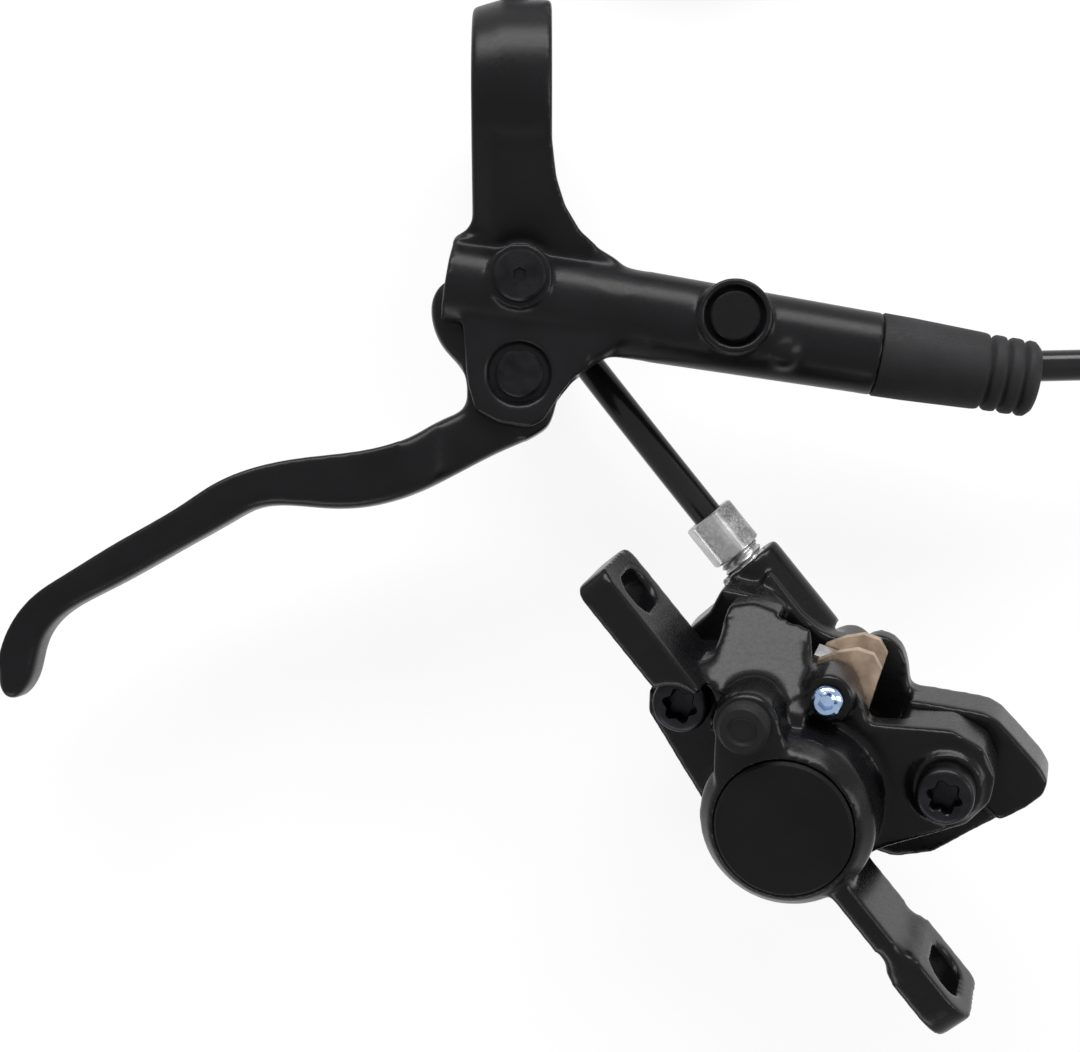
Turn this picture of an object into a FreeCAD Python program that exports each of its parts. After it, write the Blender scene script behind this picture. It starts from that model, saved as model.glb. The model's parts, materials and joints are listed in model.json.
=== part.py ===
import FreeCAD, Part
import Sketcher
import math
import os
from types import SimpleNamespace

# Hydraulic disc brake of a bicycle: a flat-bar lever unit, a two-piston post-mount caliper and the hose between
# them. Millimetres. The origin is the middle of the handlebar clamp's bore, +X runs along the handlebar, +Y points
# away from the lever blade, and +Z points out of the face that a rider sees.

Vector = FreeCAD.Vector
Rotation = FreeCAD.Rotation
Placement = FreeCAD.Placement

doc = FreeCAD.newDocument("hydraulic_disc_brake")
sheet = doc.addObject("Spreadsheet::Sheet", "sizes")

SIZES = [
    # Handlebar clamp
    ("bar_radius", 11.1, "radius of the handlebar that the clamp grips"),
    ("band_wall", 3.7, "thickness of the clamp band"),
    ("band_width", 12.6, "width of the clamp band along the bar"),
    ("band_bevel", 4.5, "width of the slanted strip along the band's left edge"),
    ("band_bevel_drop", 1.3, "how far that strip falls"),
    ("jaw_gap", 2.0, "gap between the clamp's two jaws"),
    ("jaw_reach", 23.4, "how far the lower jaw reaches from the bar's axis"),
    ("clamp_bolt_reach", 18.6, "distance from the bar's axis to the clamp bolt's axis"),
    ("clamp_bolt_radius", 2.5, "radius of the clamp bolt's thread"),
    # Master cylinder
    ("barrel_angle", 9.26, "how far the cylinder leans from the bar, in degrees"),
    ("barrel_start_x", -10.5, "place of the cylinder's open end along the bar"),
    ("barrel_drop", 30.3, "distance of that end from the bar's axis"),
    ("barrel_length", 69.6, "length of the cylinder casting"),
    ("barrel_front_radius", 7.7, "outer radius at the open end"),
    ("barrel_rear_radius", 6.6, "outer radius at the hose end"),
    ("bore_radius", 4.0, "master piston bore"),
    ("bore_start", 11.0, "where the bore starts, from the open end"),
    ("bore_end", 57.0, "where the bore ends"),
    ("bore_level", -0.8, "height of the bore's axis"),
    ("bleed_screw_along", 11.5, "bleed screw, along the cylinder"),
    ("bleed_screw_aside", 2.3, "bleed screw, across the cylinder"),
    ("bleed_screw_radius", 4.1, "radius of the bleed screw's head"),
    ("plug_along", 45.8, "reservoir plug, along the cylinder"),
    ("plug_aside", 1.6, "reservoir plug, across the cylinder"),
    ("plug_radius", 3.9, "radius of the reservoir plug"),
    # Lever blade and pivot
    ("pivot_x", 1.1, "lever pivot, along the bar"),
    ("pivot_drop", 45.0, "lever pivot, distance from the bar's axis"),
    ("pivot_radius", 2.5, "radius of the pivot pin"),
    ("hub_radius", 7.2, "radius of the blade's hub"),
    ("hub_half", 3.75, "half the thickness of the blade at its hub"),
    ("grip_half", 4.7, "half the width of the blade where fingers hold it"),
    ("blade_reach", 82.6, "distance along the bar from the pivot to the blade's tip"),
    ("ear_half", 6.0, "height of the pivot ears above and below the blade's middle"),
    ("fork_gap", 0.3, "side gap between the blade and its ears"),
    # Hose and fittings
    ("hose_radius", 2.5, "outer radius of the hose"),
    ("nut_flats", 8.0, "width across the flats of the hose nuts"),
    ("nut_thread_radius", 3.75, "radius of the hose nuts' thread"),
    ("boot_length", 25.7, "length of the rubber boot"),
    ("boot_radius", 6.7, "radius of the boot at the cylinder"),
    ("boot_end_radius", 6.1, "radius of the boot at its ribs"),
    # Caliper
    ("post_spacing", 74.2, "distance between the mounting slots"),
    ("slot_radius", 3.25, "half the width of a mounting slot"),
    ("slot_travel", 4.5, "length of a slot between its round ends"),
    ("ear_width", 18.0, "width of a mounting ear across the rotor's plane"),
    ("ear_thickness", 5.6, "thickness of a mounting ear"),
    ("ear_end", 6.3, "how far the hose side's ear goes on past its slot"),
    ("ear_end_low", 6.8, "how far the other ear goes on past its slot"),
    ("rotor_offset", 14.0, "distance from the slots' middle to the rotor's plane"),
    ("rotor_angle", 34.0, "angle between the ears' line and the rotor's rim, in degrees"),
    ("rotor_radius", 80.0, "radius of the rotor"),
    ("rotor_thickness", 1.8, "thickness of the rotor"),
    ("rotor_room", 1.5, "room round the rotor's rim"),
    ("pad_gap", 0.35, "gap between a pad and the rotor"),
    ("lining_thickness", 2.4, "thickness of a pad's lining"),
    ("plate_thickness", 1.8, "thickness of a pad's back plate"),
    ("pad_half_width", 11.0, "half the width of a pad"),
    ("pad_half_height", 10.0, "half the height of a pad"),
    ("piston_x", 3.3, "piston axis, along the ears' line from its middle"),
    ("piston_y", -2.7, "piston axis, outwards from the ears' line"),
    ("piston_radius", 10.0, "radius of a caliper piston"),
    ("piston_length", 9.5, "length of a caliper piston"),
    ("housing_radius", 13.3, "outer radius of a piston housing"),
    ("outer_depth", 24.5, "height of the outer housing over the rotor's plane"),
    ("inner_depth", 20.0, "height of the inner housing over the rotor's plane"),
    ("cover_radius", 10.4, "radius of the round cover"),
    ("body_bolt_spread", 20.8, "distance of a body bolt from the middle, along the rim"),
    ("body_bolt_rise", 10.1, "distance of a body bolt from the piston axis, outwards"),
    ("body_bolt_radius", 2.5, "radius of a body bolt's thread"),
    ("body_bolt_head", 4.4, "radius of a body bolt's head"),
    ("bolt_seat", 12.2, "height of the outer half's bolt seats over the rotor's plane"),
    ("pad_pin_rise", 18.2, "distance of the pad pin from the piston axis"),
    ("pad_pin_radius", 1.5, "radius of the pad pin"),
    ("nipple_x", -10.0, "bleed nipple, along the rim"),
    ("nipple_y", 13.1, "bleed nipple, outwards"),
    ("boss_radius", 5.0, "radius of the hose boss and of the bleed boss"),
    ("hose_boss_start", 28.6, "distance from the ears' middle to the hose boss's face"),
    ("hose_boss_rise", 8.1, "hose boss's axis, outwards from the ears' line"),
    ("hose_boss_depth", 27.0, "hose boss's axis, behind the slots' middle"),
    # Fits
    ("running_gap", 0.05, "radial gap of a running fit"),
    ("seat_gap", 0.03, "gap between parts that are fixed together"),
    ("bolt_room", 0.25, "radial gap round a bolt's shank"),
    # How the caliper lies beside the lever
    ("caliper_x", 43.0, "middle of the ears' line"),
    ("caliper_y", -107.5, "middle of the ears' line"),
    ("caliper_level", 16.41, "height of the ears' middle over the bar's axis"),
    ("caliper_turn", -51.15, "direction of the ears' line, in degrees"),
    ("caliper_lean", 19.0, "lean of the caliper about the ears' line, in degrees"),
]


class Size:
    """A number that keeps the formula by which the sheet gives it."""

    def __init__(self, formula, value):
        self.formula = formula
        self.value = float(value)

    def __float__(self):
        return self.value

    def __add__(self, other):
        return joined(self, "+", other, float(self) + float(other))

    def __radd__(self, other):
        return joined(other, "+", self, float(other) + float(self))

    def __sub__(self, other):
        return joined(self, "-", other, float(self) - float(other))

    def __rsub__(self, other):
        return joined(other, "-", self, float(other) - float(self))

    def __mul__(self, other):
        return joined(self, "*", other, float(self) * float(other))

    def __rmul__(self, other):
        return joined(other, "*", self, float(other) * float(self))

    def __truediv__(self, other):
        return joined(self, "/", other, float(self) / float(other))

    def __neg__(self):
        return joined(0, "-", self, -float(self))


def formula_of(value):
    return value.formula if isinstance(value, Size) else "({:.9g})".format(value)


def joined(left, sign, right, value):
    return Size("({} {} {})".format(formula_of(left), sign, formula_of(right)), value)


def cosine(angle):
    return Size("cos({})".format(formula_of(angle)), math.cos(math.radians(float(angle))))


def sine(angle):
    return Size("sin({})".format(formula_of(angle)), math.sin(math.radians(float(angle))))


for row, (alias, number, meaning) in enumerate(SIZES, start=1):
    sheet.set("A{}".format(row), alias)
    sheet.set("B{}".format(row), str(number))
    sheet.set("C{}".format(row), meaning)
    sheet.setAlias("B{}".format(row), alias)
doc.recompute()
S = SimpleNamespace(**{alias: Size("sizes." + alias, getattr(sheet, alias)) for alias, _, _ in SIZES})

# Turns that bring a piece's own +Z to another direction
ALONG_X = Rotation(Vector(0, 1, 0), 90)
ALONG_Y = Rotation(Vector(1, 0, 0), -90)
UPSIDE_DOWN = Rotation(Vector(1, 0, 0), 180)
BARREL_TURN = Rotation(Vector(0, 0, 1), -float(S.barrel_angle))
ALONG_BARREL = BARREL_TURN.multiply(ALONG_X)

# The caliper has two frames: that of its ears, and that of its rotor, whose rim it follows. The ears' frame has +X
# along the line of the slots, +Y outwards from the wheel and +Z towards the rider's side. The rotor's frame starts
# where the piston axis meets the rotor's plane and is turned about +Z.
EAR_FRAME = Placement(
    Vector(float(S.caliper_x), float(S.caliper_y), float(S.caliper_level)),
    Rotation(Vector(0, 0, 1), float(S.caliper_turn)).multiply(Rotation(Vector(1, 0, 0), float(S.caliper_lean))),
)
ROTOR_IN_EARS = Placement(
    Vector(float(S.piston_x), float(S.piston_y), -float(S.rotor_offset)),
    Rotation(Vector(0, 0, 1), float(S.rotor_angle)),
)
EARS_IN_ROTOR = ROTOR_IN_EARS.inverse()
ROTOR_FRAME = EAR_FRAME.multiply(ROTOR_IN_EARS)
ROW_FRAME = Placement()

nodes = []


def bind(obj, prop, value):
    """Gives a property its formula, which names the sheet's sizes."""
    obj.setExpression(prop, formula_of(value))


def made(kind, name, at=(0, 0, 0), turn=None, **sizes):
    """A primitive whose sizes and place follow the sheet."""
    obj = doc.addObject(kind, name)
    obj.Placement = Placement(Vector(*(float(part) for part in at)), turn or Rotation())
    for letter, part in zip("xyz", at):
        if isinstance(part, Size):
            obj.setExpression("Placement.Base." + letter, part.formula)
    for prop, value in sizes.items():
        bind(obj, prop, value)
    return obj


def rod(name, radius, length, at=(0, 0, 0), turn=None):
    return made("Part::Cylinder", name, at, turn, Radius=radius, Height=length)


def cone(name, first, last, length, at=(0, 0, 0), turn=None):
    return made("Part::Cone", name, at, turn, Radius1=first, Radius2=last, Height=length)


def block(name, size, at=(0, 0, 0), turn=None):
    return made("Part::Box", name, at, turn, Length=size[0], Width=size[1], Height=size[2])


def draw(sketch, corners):
    """Closes a sketch through corners, each held by its two distances from the sketch's origin."""
    count = len(corners)
    points = [Vector(float(x), float(y), 0) for x, y in corners]
    for i in range(count):
        sketch.addGeometry(Part.LineSegment(points[i], points[(i + 1) % count]))
    for i in range(count):
        sketch.addConstraint(Sketcher.Constraint("Coincident", i, 2, (i + 1) % count, 1))
    for i, corner in enumerate(corners):
        for kind, part in zip(("DistanceX", "DistanceY"), corner):
            place = sketch.addConstraint(Sketcher.Constraint(kind, -1, 1, i, 1, float(part)))
            if isinstance(part, Size):
                sketch.setExpression("Constraints[{}]".format(place), part.formula)
    return sketch


def plate(name, corners, low, height, turn=None, frame_at=None):
    """An outline in the XY plane, given a height from a level upwards."""
    at = frame_at or (0, 0, low)
    sketch = draw(made("Sketcher::SketchObject", name + "_outline", at, turn), corners)
    flat = made("Part::Extrusion", name)
    flat.Base = sketch
    flat.DirMode = "Normal"
    flat.Solid = True
    bind(flat, "LengthFwd", height)
    return flat


def fused(name, pieces):
    obj = doc.addObject("Part::MultiFuse", name)
    obj.Shapes = pieces
    return obj


def cut(name, base, tools):
    obj = doc.addObject("Part::Cut", name)
    obj.Base = base
    obj.Tool = tools[0] if len(tools) == 1 else fused(name + "_tools", tools)
    return obj


def common(name, first, second):
    obj = doc.addObject("Part::Common", name)
    obj.Base = first
    obj.Tool = second
    return obj


def origin_plane(body, role):
    return [(plane, "") for plane in body.Origin.OriginFeatures if plane.Role == role]


def turned(label, profile, frame=ROW_FRAME, at=(0, 0, 0), turn=None):
    """A body turned about its own Z axis from (radius, height) corners."""
    body = doc.addObject("PartDesign::Body", label)
    sketch = body.newObject("Sketcher::SketchObject", label + "_profile")
    sketch.AttachmentSupport = origin_plane(body, "XZ_Plane")
    sketch.MapMode = "FlatFace"
    draw(sketch, profile)
    revolution = body.newObject("PartDesign::Revolution", label + "_turning")
    revolution.Profile = sketch
    revolution.ReferenceAxis = (sketch, ["V_Axis"])
    revolution.Angle = 360
    return keep(label, body, frame, at, turn)


def hexagon(flats):
    """The corners of a hexagon of that width across its flats."""
    corner = flats / math.sqrt(3)
    return [(corner * cosine(60 * i + 30), corner * sine(60 * i + 30)) for i in range(6)]


def pocket(body, name, corners, level, depth):
    """Cuts an outline into a body from a level of its own Z axis downwards."""
    sketch = body.newObject("Sketcher::SketchObject", name + "_outline")
    sketch.AttachmentSupport = origin_plane(body, "XY_Plane")
    sketch.MapMode = "FlatFace"
    bind(sketch, "AttachmentOffset.Base.z", level)
    draw(sketch, corners)
    hole = body.newObject("PartDesign::Pocket", name)
    hole.Profile = sketch
    bind(hole, "Length", depth)


def pad(body, name, corners, level, height):
    """Adds an outline to a body from a level of its own Z axis upwards."""
    sketch = body.newObject("Sketcher::SketchObject", name + "_outline")
    sketch.AttachmentSupport = origin_plane(body, "XY_Plane")
    sketch.MapMode = "FlatFace"
    bind(sketch, "AttachmentOffset.Base.z", level)
    draw(sketch, corners)
    grown = body.newObject("PartDesign::Pad", name)
    grown.Profile = sketch
    bind(grown, "Length", height)


def keep(label, obj, frame=ROW_FRAME, at=(0, 0, 0), turn=None):
    """Names a sub-part, puts it in its place and lists it for export."""
    place = Placement(Vector(*(float(part) for part in at)), turn or Rotation())
    obj.Label = label
    obj.Placement = frame.multiply(place)
    nodes.append(obj)
    return obj


def on_barrel(along, aside, level):
    """A place given along and across the cylinder, in the row's frame."""
    lean_cos, lean_sin = cosine(S.barrel_angle), sine(S.barrel_angle)
    return (
        S.barrel_start_x + along * lean_cos + aside * lean_sin,
        -S.barrel_drop - along * lean_sin + aside * lean_cos,
        level,
    )


# Lever body: clamp band, neck, cylinder and pivot ears in one casting

BAND_RADIUS = S.bar_radius + S.band_wall
BAND_HALF = S.band_width / 2
BORE_LEVEL = S.bore_level
NECK_FLOOR = -1.0
NECK_START = 6.0
NECK_FALL = 0.488
FORK_HALF = S.hub_half + S.fork_gap
SCREW_SEAT = 8.0
SCREW_BOSS = S.bleed_screw_radius + 1.0
PLUG_SEAT = 6.5
PLUG_RIM = 7.9
PIVOT_SEAT = S.ear_half - 0.9
PIVOT_HEAD = 3.75
PIVOT_RECESS = 5.1
SOCKET_START = S.barrel_length - 8.0


def clamp_band():
    """The ring round the handlebar, with its slanted left edge and its lower jaw."""
    flat_part = S.band_width - S.band_bevel
    ring = rod("band_ring", BAND_RADIUS, flat_part, (S.band_bevel - BAND_HALF, 0, 0), ALONG_X)
    bevel = cone(
        "band_edge", BAND_RADIUS - S.band_bevel_drop, BAND_RADIUS, S.band_bevel, (-BAND_HALF, 0, 0), ALONG_X
    )
    jaw_top = NECK_FLOOR - S.jaw_gap
    jaw_depth = 7.6
    jaw = block(
        "band_jaw",
        (S.band_width, S.jaw_reach - 8.0, jaw_depth),
        (-BAND_HALF, -S.jaw_reach, jaw_top - jaw_depth),
    )
    return [ring, bevel, jaw]


def neck_height(distance):
    """Height of the neck's sloping face at a distance from the bar's axis."""
    return BAND_RADIUS - 1.56 - (distance - NECK_START) * NECK_FALL


def neck():
    """The wedge that falls from the band to the cylinder's side, wider on the right where it meets it."""
    right = BAND_HALF + 0.2
    plan = plate(
        "neck_plan",
        [
            (-BAND_HALF, 2.0),
            (BAND_HALF, 2.0),
            (BAND_HALF, -9.0),
            (right + 0.5, -14.5),
            (right + 1.9, -18.6),
            (right + 4.3, -22.3),
            (right + 7.2, -24.8),
            (right + 10.8, -26.7),
            (right + 10.8, 3.0 - S.barrel_drop - 4.0),
            (S.barrel_start_x + 1.5, -S.barrel_drop),
            (S.barrel_start_x + 1.5, -22.9),
            (-BAND_HALF - 0.9, -22.0),
            (-BAND_HALF, -20.6),
        ],
        NECK_FLOOR,
        20.0,
    )
    side = plate(
        "neck_side",
        [
            (0.0, S.bar_radius - 0.1),
            (-NECK_START, S.bar_radius - 0.1),
            (-NECK_START, neck_height(NECK_START)),
            (-S.barrel_drop - 1.2, neck_height(S.barrel_drop + 1.2)),
            (-S.barrel_drop - 1.2, NECK_FLOOR),
            (0.0, NECK_FLOOR),
        ],
        0,
        40.0,
        Rotation(Vector(1, 1, 1), 120),
        (-20.0, 0, 0),
    )
    return common("neck", plan, side)


def neck_edge():
    """The slanted strip goes on down the neck's left edge."""
    start = NECK_START - 0.4
    top = neck_height(start)
    strip = made("Sketcher::SketchObject", "neck_edge_outline", (0, -start, 0), Rotation(Vector(1, 0, 0), 90))
    draw(
        strip,
        [
            (-BAND_HALF - 4.0, top + 3.0),
            (-BAND_HALF - 4.0, top - S.band_bevel_drop - 1.1),
            (S.band_bevel - BAND_HALF, top + 0.5),
            (S.band_bevel - BAND_HALF, top + 3.0),
        ],
    )
    cutter = made("Part::Extrusion", "neck_edge")
    cutter.Base = strip
    cutter.DirMode = "Custom"
    cutter.Dir = Vector(0, -1, -NECK_FALL).normalize()
    bind(cutter, "LengthFwd", (S.barrel_drop - start - 7.0) * math.hypot(1, NECK_FALL))
    cutter.Solid = True
    return cutter


def barrel():
    """The cylinder casting, with the raised seats of the bleed screw and of the plug."""
    return [
        cone(
            "barrel",
            S.barrel_front_radius,
            S.barrel_rear_radius,
            S.barrel_length,
            on_barrel(0, 0, 0),
            ALONG_BARREL,
        ),
        rod(
            "screw_boss",
            SCREW_BOSS,
            SCREW_SEAT - 3.0,
            on_barrel(S.bleed_screw_along, S.bleed_screw_aside, 3.0),
        ),
        rod("plug_collar", S.plug_radius + 2.0, PLUG_RIM - 3.0, on_barrel(S.plug_along, S.plug_aside, 3.0)),
        made("Part::Sphere", "barrel_bump", on_barrel(S.plug_along + 8.8, -2.2, 4.3), ALONG_BARREL, Radius=3.2),
    ]


def pivot_ears():
    """The plate under the cylinder that the blade's pin goes through."""
    x, y = S.pivot_x, -S.pivot_drop
    corners = [
        (x - 9.2, y + 12.0),
        (x - 8.9, y + 6.8),
        (x - 8.2, y - 1.3),
        (x - 6.9, y - 5.9),
        (x - 3.4, y - 7.8),
        (x + 1.7, y - 8.6),
        (x + 3.9, y - 7.4),
        (x + 6.4, y - 3.4),
        (x + 8.4, y - 0.9),
        (x + 11.9, y + 2.0),
        (x + 15.0, y + 3.7),
        (x + 17.0, y + 9.0),
        (x, y + 12.0),
    ]
    return plate("pivot_ears", corners, -S.ear_half, S.ear_half * 2)


def lever_body():
    solid = fused("lever_casting", clamp_band() + [neck()] + barrel() + [pivot_ears()])
    fork = plate(
        "blade_fork",
        [
            on_barrel(-4.0, -6.0, 0)[:2],
            on_barrel(-4.0, 5.6, 0)[:2],
            on_barrel(S.bore_start + 1.2, 5.6, 0)[:2],
            on_barrel(S.bore_start + 1.2, -4.6, 0)[:2],
            (S.pivot_x + S.hub_radius + 1.6, -S.pivot_drop + 4.5),
            (S.pivot_x + S.hub_radius + 1.6, -S.pivot_drop - 14.0),
            (S.barrel_start_x - 8.0, -S.pivot_drop - 14.0),
        ],
        -FORK_HALF,
        FORK_HALF * 2,
    )
    screw_at = on_barrel(S.bleed_screw_along, S.bleed_screw_aside, 5.0)
    plug_at = on_barrel(S.plug_along, S.plug_aside, 3.5)
    channel_at = on_barrel(S.bleed_screw_along, 1.8, 5.1)
    jaw_clear = plate(
        "jaw_slot",
        [(-10.0, -8.0), (10.0, -8.0), (10.0, -S.jaw_reach - 0.1), (-10.0, -S.jaw_reach - 0.1)],
        NECK_FLOOR - S.jaw_gap,
        S.jaw_gap,
    )
    tools = [
        rod("bar_bore", S.bar_radius, 30.0, (-15.0, 0, 0), ALONG_X),
        jaw_clear,
        neck_edge(),
        rod("clamp_bolt_hole", S.clamp_bolt_radius + S.bolt_room, 9.0, (0, -S.clamp_bolt_reach, -12.0)),
        rod("clamp_bolt_thread", S.clamp_bolt_radius + S.seat_gap, 6.2, (0, -S.clamp_bolt_reach, -1.5)),
        rod("clamp_bolt_seat", S.clamp_bolt_radius * 1.9, 3.0, (0, -S.clamp_bolt_reach, -12.4)),
        fork,
        rod("pivot_hole", S.pivot_radius + S.running_gap, 30.0, (S.pivot_x, -S.pivot_drop, -15.0)),
        rod("pivot_recess", PIVOT_RECESS, 5.0, (S.pivot_x, -S.pivot_drop, PIVOT_SEAT)),
        rod(
            "master_bore",
            S.bore_radius,
            S.bore_end - S.bore_start,
            on_barrel(S.bore_start, 0, BORE_LEVEL),
            ALONG_BARREL,
        ),
        rod(
            "fluid_outlet", 1.0, SOCKET_START - S.bore_end + 2.0, on_barrel(S.bore_end - 1.0, 0, 0), ALONG_BARREL
        ),
        rod(
            "hose_socket",
            S.nut_thread_radius + S.seat_gap,
            9.0,
            on_barrel(SOCKET_START, 0, 0),
            ALONG_BARREL,
        ),
        rod("reservoir", 0.9, S.plug_along - S.bleed_screw_along, channel_at, ALONG_BARREL),
        rod("bleed_screw_hole", 2.5 + S.seat_gap, 8.0, screw_at),
        rod(
            "bleed_screw_recess",
            S.bleed_screw_radius + 0.4,
            6.0,
            on_barrel(S.bleed_screw_along, S.bleed_screw_aside, SCREW_SEAT),
        ),
        rod("plug_cavity", S.plug_radius - 0.55, 8.0, plug_at),
        rod(
            "plug_recess",
            S.plug_radius + 0.9,
            4.0,
            on_barrel(S.plug_along, S.plug_aside, PLUG_SEAT),
        ),
        rod("feed_port", 0.5, 4.0, on_barrel(S.bore_end - 17.0, 1.8, 2.0)),
    ]
    return keep("lever_body", cut("lever_body_casting", solid, tools))


lever_body()


# Clamp bolt, bleed screw, plug and diaphragm


def socket_bolt(label, radius, head_radius, head_height, length, flats, frame, at, turn):
    """A bolt with its head upwards from its own origin and its shank downwards, and a six-sided socket."""
    bolt = turned(
        label,
        [
            (0, -length),
            (radius - 0.3, -length),
            (radius, 0.3 - length),
            (radius, 0),
            (head_radius, 0),
            (head_radius, head_height - 0.4),
            (head_radius - 0.4, head_height),
            (0, head_height),
        ],
        frame,
        at,
        turn,
    )
    pocket(bolt, label + "_socket", hexagon(flats), head_height, head_height * 0.6)
    return bolt


CLAMP_HEAD = 3.0
CLAMP_SEAT = -9.4
socket_bolt(
    "clamp_bolt",
    S.clamp_bolt_radius,
    S.clamp_bolt_radius * 1.7,
    CLAMP_HEAD,
    13.6,
    Size("(4)", 4),
    ROW_FRAME,
    (0, -S.clamp_bolt_reach, CLAMP_SEAT - 0.03),
    UPSIDE_DOWN,
)
SEAL_THICKNESS = 0.4
socket_bolt(
    "bleed_screw",
    Size("(2.5)", 2.5),
    S.bleed_screw_radius,
    1.3,
    2.9,
    Size("(2)", 2),
    ROW_FRAME,
    on_barrel(S.bleed_screw_along, S.bleed_screw_aside, SCREW_SEAT + SEAL_THICKNESS),
    None,
)
turned(
    "bleed_screw_seal",
    [(2.6, 0), (3.7, 0), (3.7, SEAL_THICKNESS), (2.6, SEAL_THICKNESS)],
    ROW_FRAME,
    on_barrel(S.bleed_screw_along, S.bleed_screw_aside, SCREW_SEAT),
)
turned(
    "reservoir_plug",
    [
        (0, -1.9),
        (S.plug_radius - 0.6, -1.9),
        (S.plug_radius - 0.6, 0),
        (S.plug_radius, 0),
        (S.plug_radius, 1.0),
        (S.plug_radius - 0.3, 1.3),
        (0, 1.3),
    ],
    ROW_FRAME,
    on_barrel(S.plug_along, S.plug_aside, PLUG_SEAT),
)
turned(
    "reservoir_diaphragm",
    [
        (0, 0.3),
        (1.8, 0.3),
        (2.2, 0),
        (S.plug_radius - 0.6, 0),
        (S.plug_radius - 0.6, 1.05),
        (S.plug_radius - 1.2, 1.05),
        (S.plug_radius - 1.2, 0.6),
        (0, 0.6),
    ],
    ROW_FRAME,
    on_barrel(S.plug_along, S.plug_aside, 3.53),
)


# Lever blade. Its two long edges are drawn through places given as a share of the reach and a distance from the
# pivot.

BLADE_UPPER_EDGE = [
    (0.133, -6.4),
    (0.193, -9.1),
    (0.280, -11.7),
    (0.409, -13.1),
    (0.490, -14.3),
    (0.592, -17.6),
    (0.643, -20.4),
    (0.772, -26.6),
    (0.876, -31.9),
    (0.928, -34.8),
    (0.980, -40.4),
    (1.000, -46.8),
]
BLADE_TIP = (0.986, -51.4)
BLADE_LOWER_EDGE = [
    (0.954, -50.6),
    (0.933, -48.0),
    (0.918, -42.6),
    (0.897, -39.7),
    (0.799, -34.5),
    (0.643, -27.4),
    (0.538, -22.5),
    (0.508, -21.2),
    (0.471, -20.7),
    (0.357, -21.3),
    (0.280, -20.8),
    (0.208, -19.1),
    (0.109, -15.2),
    (0.030, -11.9),
    (-0.033, -9.5),
    (-0.055, -8.2),
]
NOSE_EDGE = [
    (-8.6, -5.2),
    (-8.3, -3.2),
    (-8.4, -1.0),
    (-9.2, 1.1),
    (-11.9, 4.0),
    (-13.9, 8.2),
    (-14.2, 11.2),
    (-13.3, 13.9),
    (-11.2, 15.6),
    (-8.6, 15.4),
]
NOSE_FACE = [(-6.5, 13.4), (-7.3, 8.6), (-5.6, 6.2)]


def blade_point(share, rise):
    return Vector(float(S.pivot_x - share * S.blade_reach), float(rise - S.pivot_drop), 0)


def near_pivot(across, rise):
    return Vector(float(S.pivot_x + across), float(rise - S.pivot_drop), 0)


def spline(points):
    curve = Part.BSplineCurve()
    curve.interpolate(points)
    return curve.toShape()


def blade_outline():
    """The blade seen from above: nose, upper edge, tip, lower edge and hub."""
    upper = [blade_point(*place) for place in BLADE_UPPER_EDGE]
    lower = [blade_point(*place) for place in BLADE_LOWER_EDGE]
    nose = [near_pivot(*place) for place in NOSE_EDGE]
    face = [near_pivot(*place) for place in NOSE_FACE]
    tip = blade_point(*BLADE_TIP)
    hub = float(S.hub_radius)
    hub_start = near_pivot(hub * math.cos(math.radians(-35)), hub * math.sin(math.radians(-35)))
    hub_top = near_pivot(hub, 0)
    hub_end = near_pivot(hub * math.cos(math.radians(125)), hub * math.sin(math.radians(125)))
    turn = near_pivot(hub * math.cos(math.radians(50)), hub * math.sin(math.radians(50)))
    hub_high = near_pivot(hub * math.cos(math.radians(88)), hub * math.sin(math.radians(88)))
    edges = [
        spline(nose[::-1] + upper),
        Part.Arc(upper[-1], blade_point(0.9995, -49.6), tip).toShape(),
        Part.Arc(tip, blade_point(0.968, -51.7), lower[0]).toShape(),
        spline(lower),
        Part.Arc(lower[-1], near_pivot(5.3, -6.6), hub_start).toShape(),
        Part.Arc(hub_start, hub_top, turn).toShape(),
        Part.Arc(turn, hub_high, hub_end).toShape(),
        Part.makePolygon([hub_end, face[2]]).Edges[0],
        Part.makePolygon([face[2], face[1]]).Edges[0],
        Part.makePolygon([face[1], face[0]]).Edges[0],
        Part.makePolygon([face[0], nose[-1]]).Edges[0],
    ]
    return Part.Face(Part.Wire(Part.__sortEdges__(edges)))


def lever_blade():
    face = blade_outline()
    grip, hub_half = float(S.grip_half), float(S.hub_half)
    broad = face.copy()
    broad.translate(Vector(0, 0, -grip))
    broad = broad.extrude(Vector(0, 0, 2 * grip))
    thin = face.copy()
    thin.translate(Vector(0, 0, -hub_half))
    thin = thin.extrude(Vector(0, 0, 2 * hub_half))
    fingers_from = blade_point(0.155, 0).x
    reach = float(S.blade_reach)
    fingers = Part.makeBox(reach, 60, 4 * grip, Vector(fingers_from - reach, -float(S.pivot_drop) - 60, -2 * grip))
    solid = thin.fuse(broad.common(fingers)).removeSplitter()
    pivot = Vector(float(S.pivot_x), -float(S.pivot_drop), -20)
    solid = solid.cut(Part.makeCylinder(float(S.pivot_radius) + 1.1 + float(S.seat_gap), 40, pivot))
    screw_at = on_barrel(-5.0, 0, BORE_LEVEL)
    screw_hole = Part.makeCylinder(2.0 + float(S.seat_gap), 14.0)
    screw_hole.Placement = Placement(Vector(*(float(part) for part in screw_at)), ALONG_BARREL)
    solid = solid.cut(screw_hole)
    feature = doc.addObject("Part::Feature", "lever_blade")
    feature.Shape = solid.Solids[0] if len(solid.Solids) == 1 else solid
    return keep("lever_blade", feature)


lever_blade()


# Pivot pin, bush and clip

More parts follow.
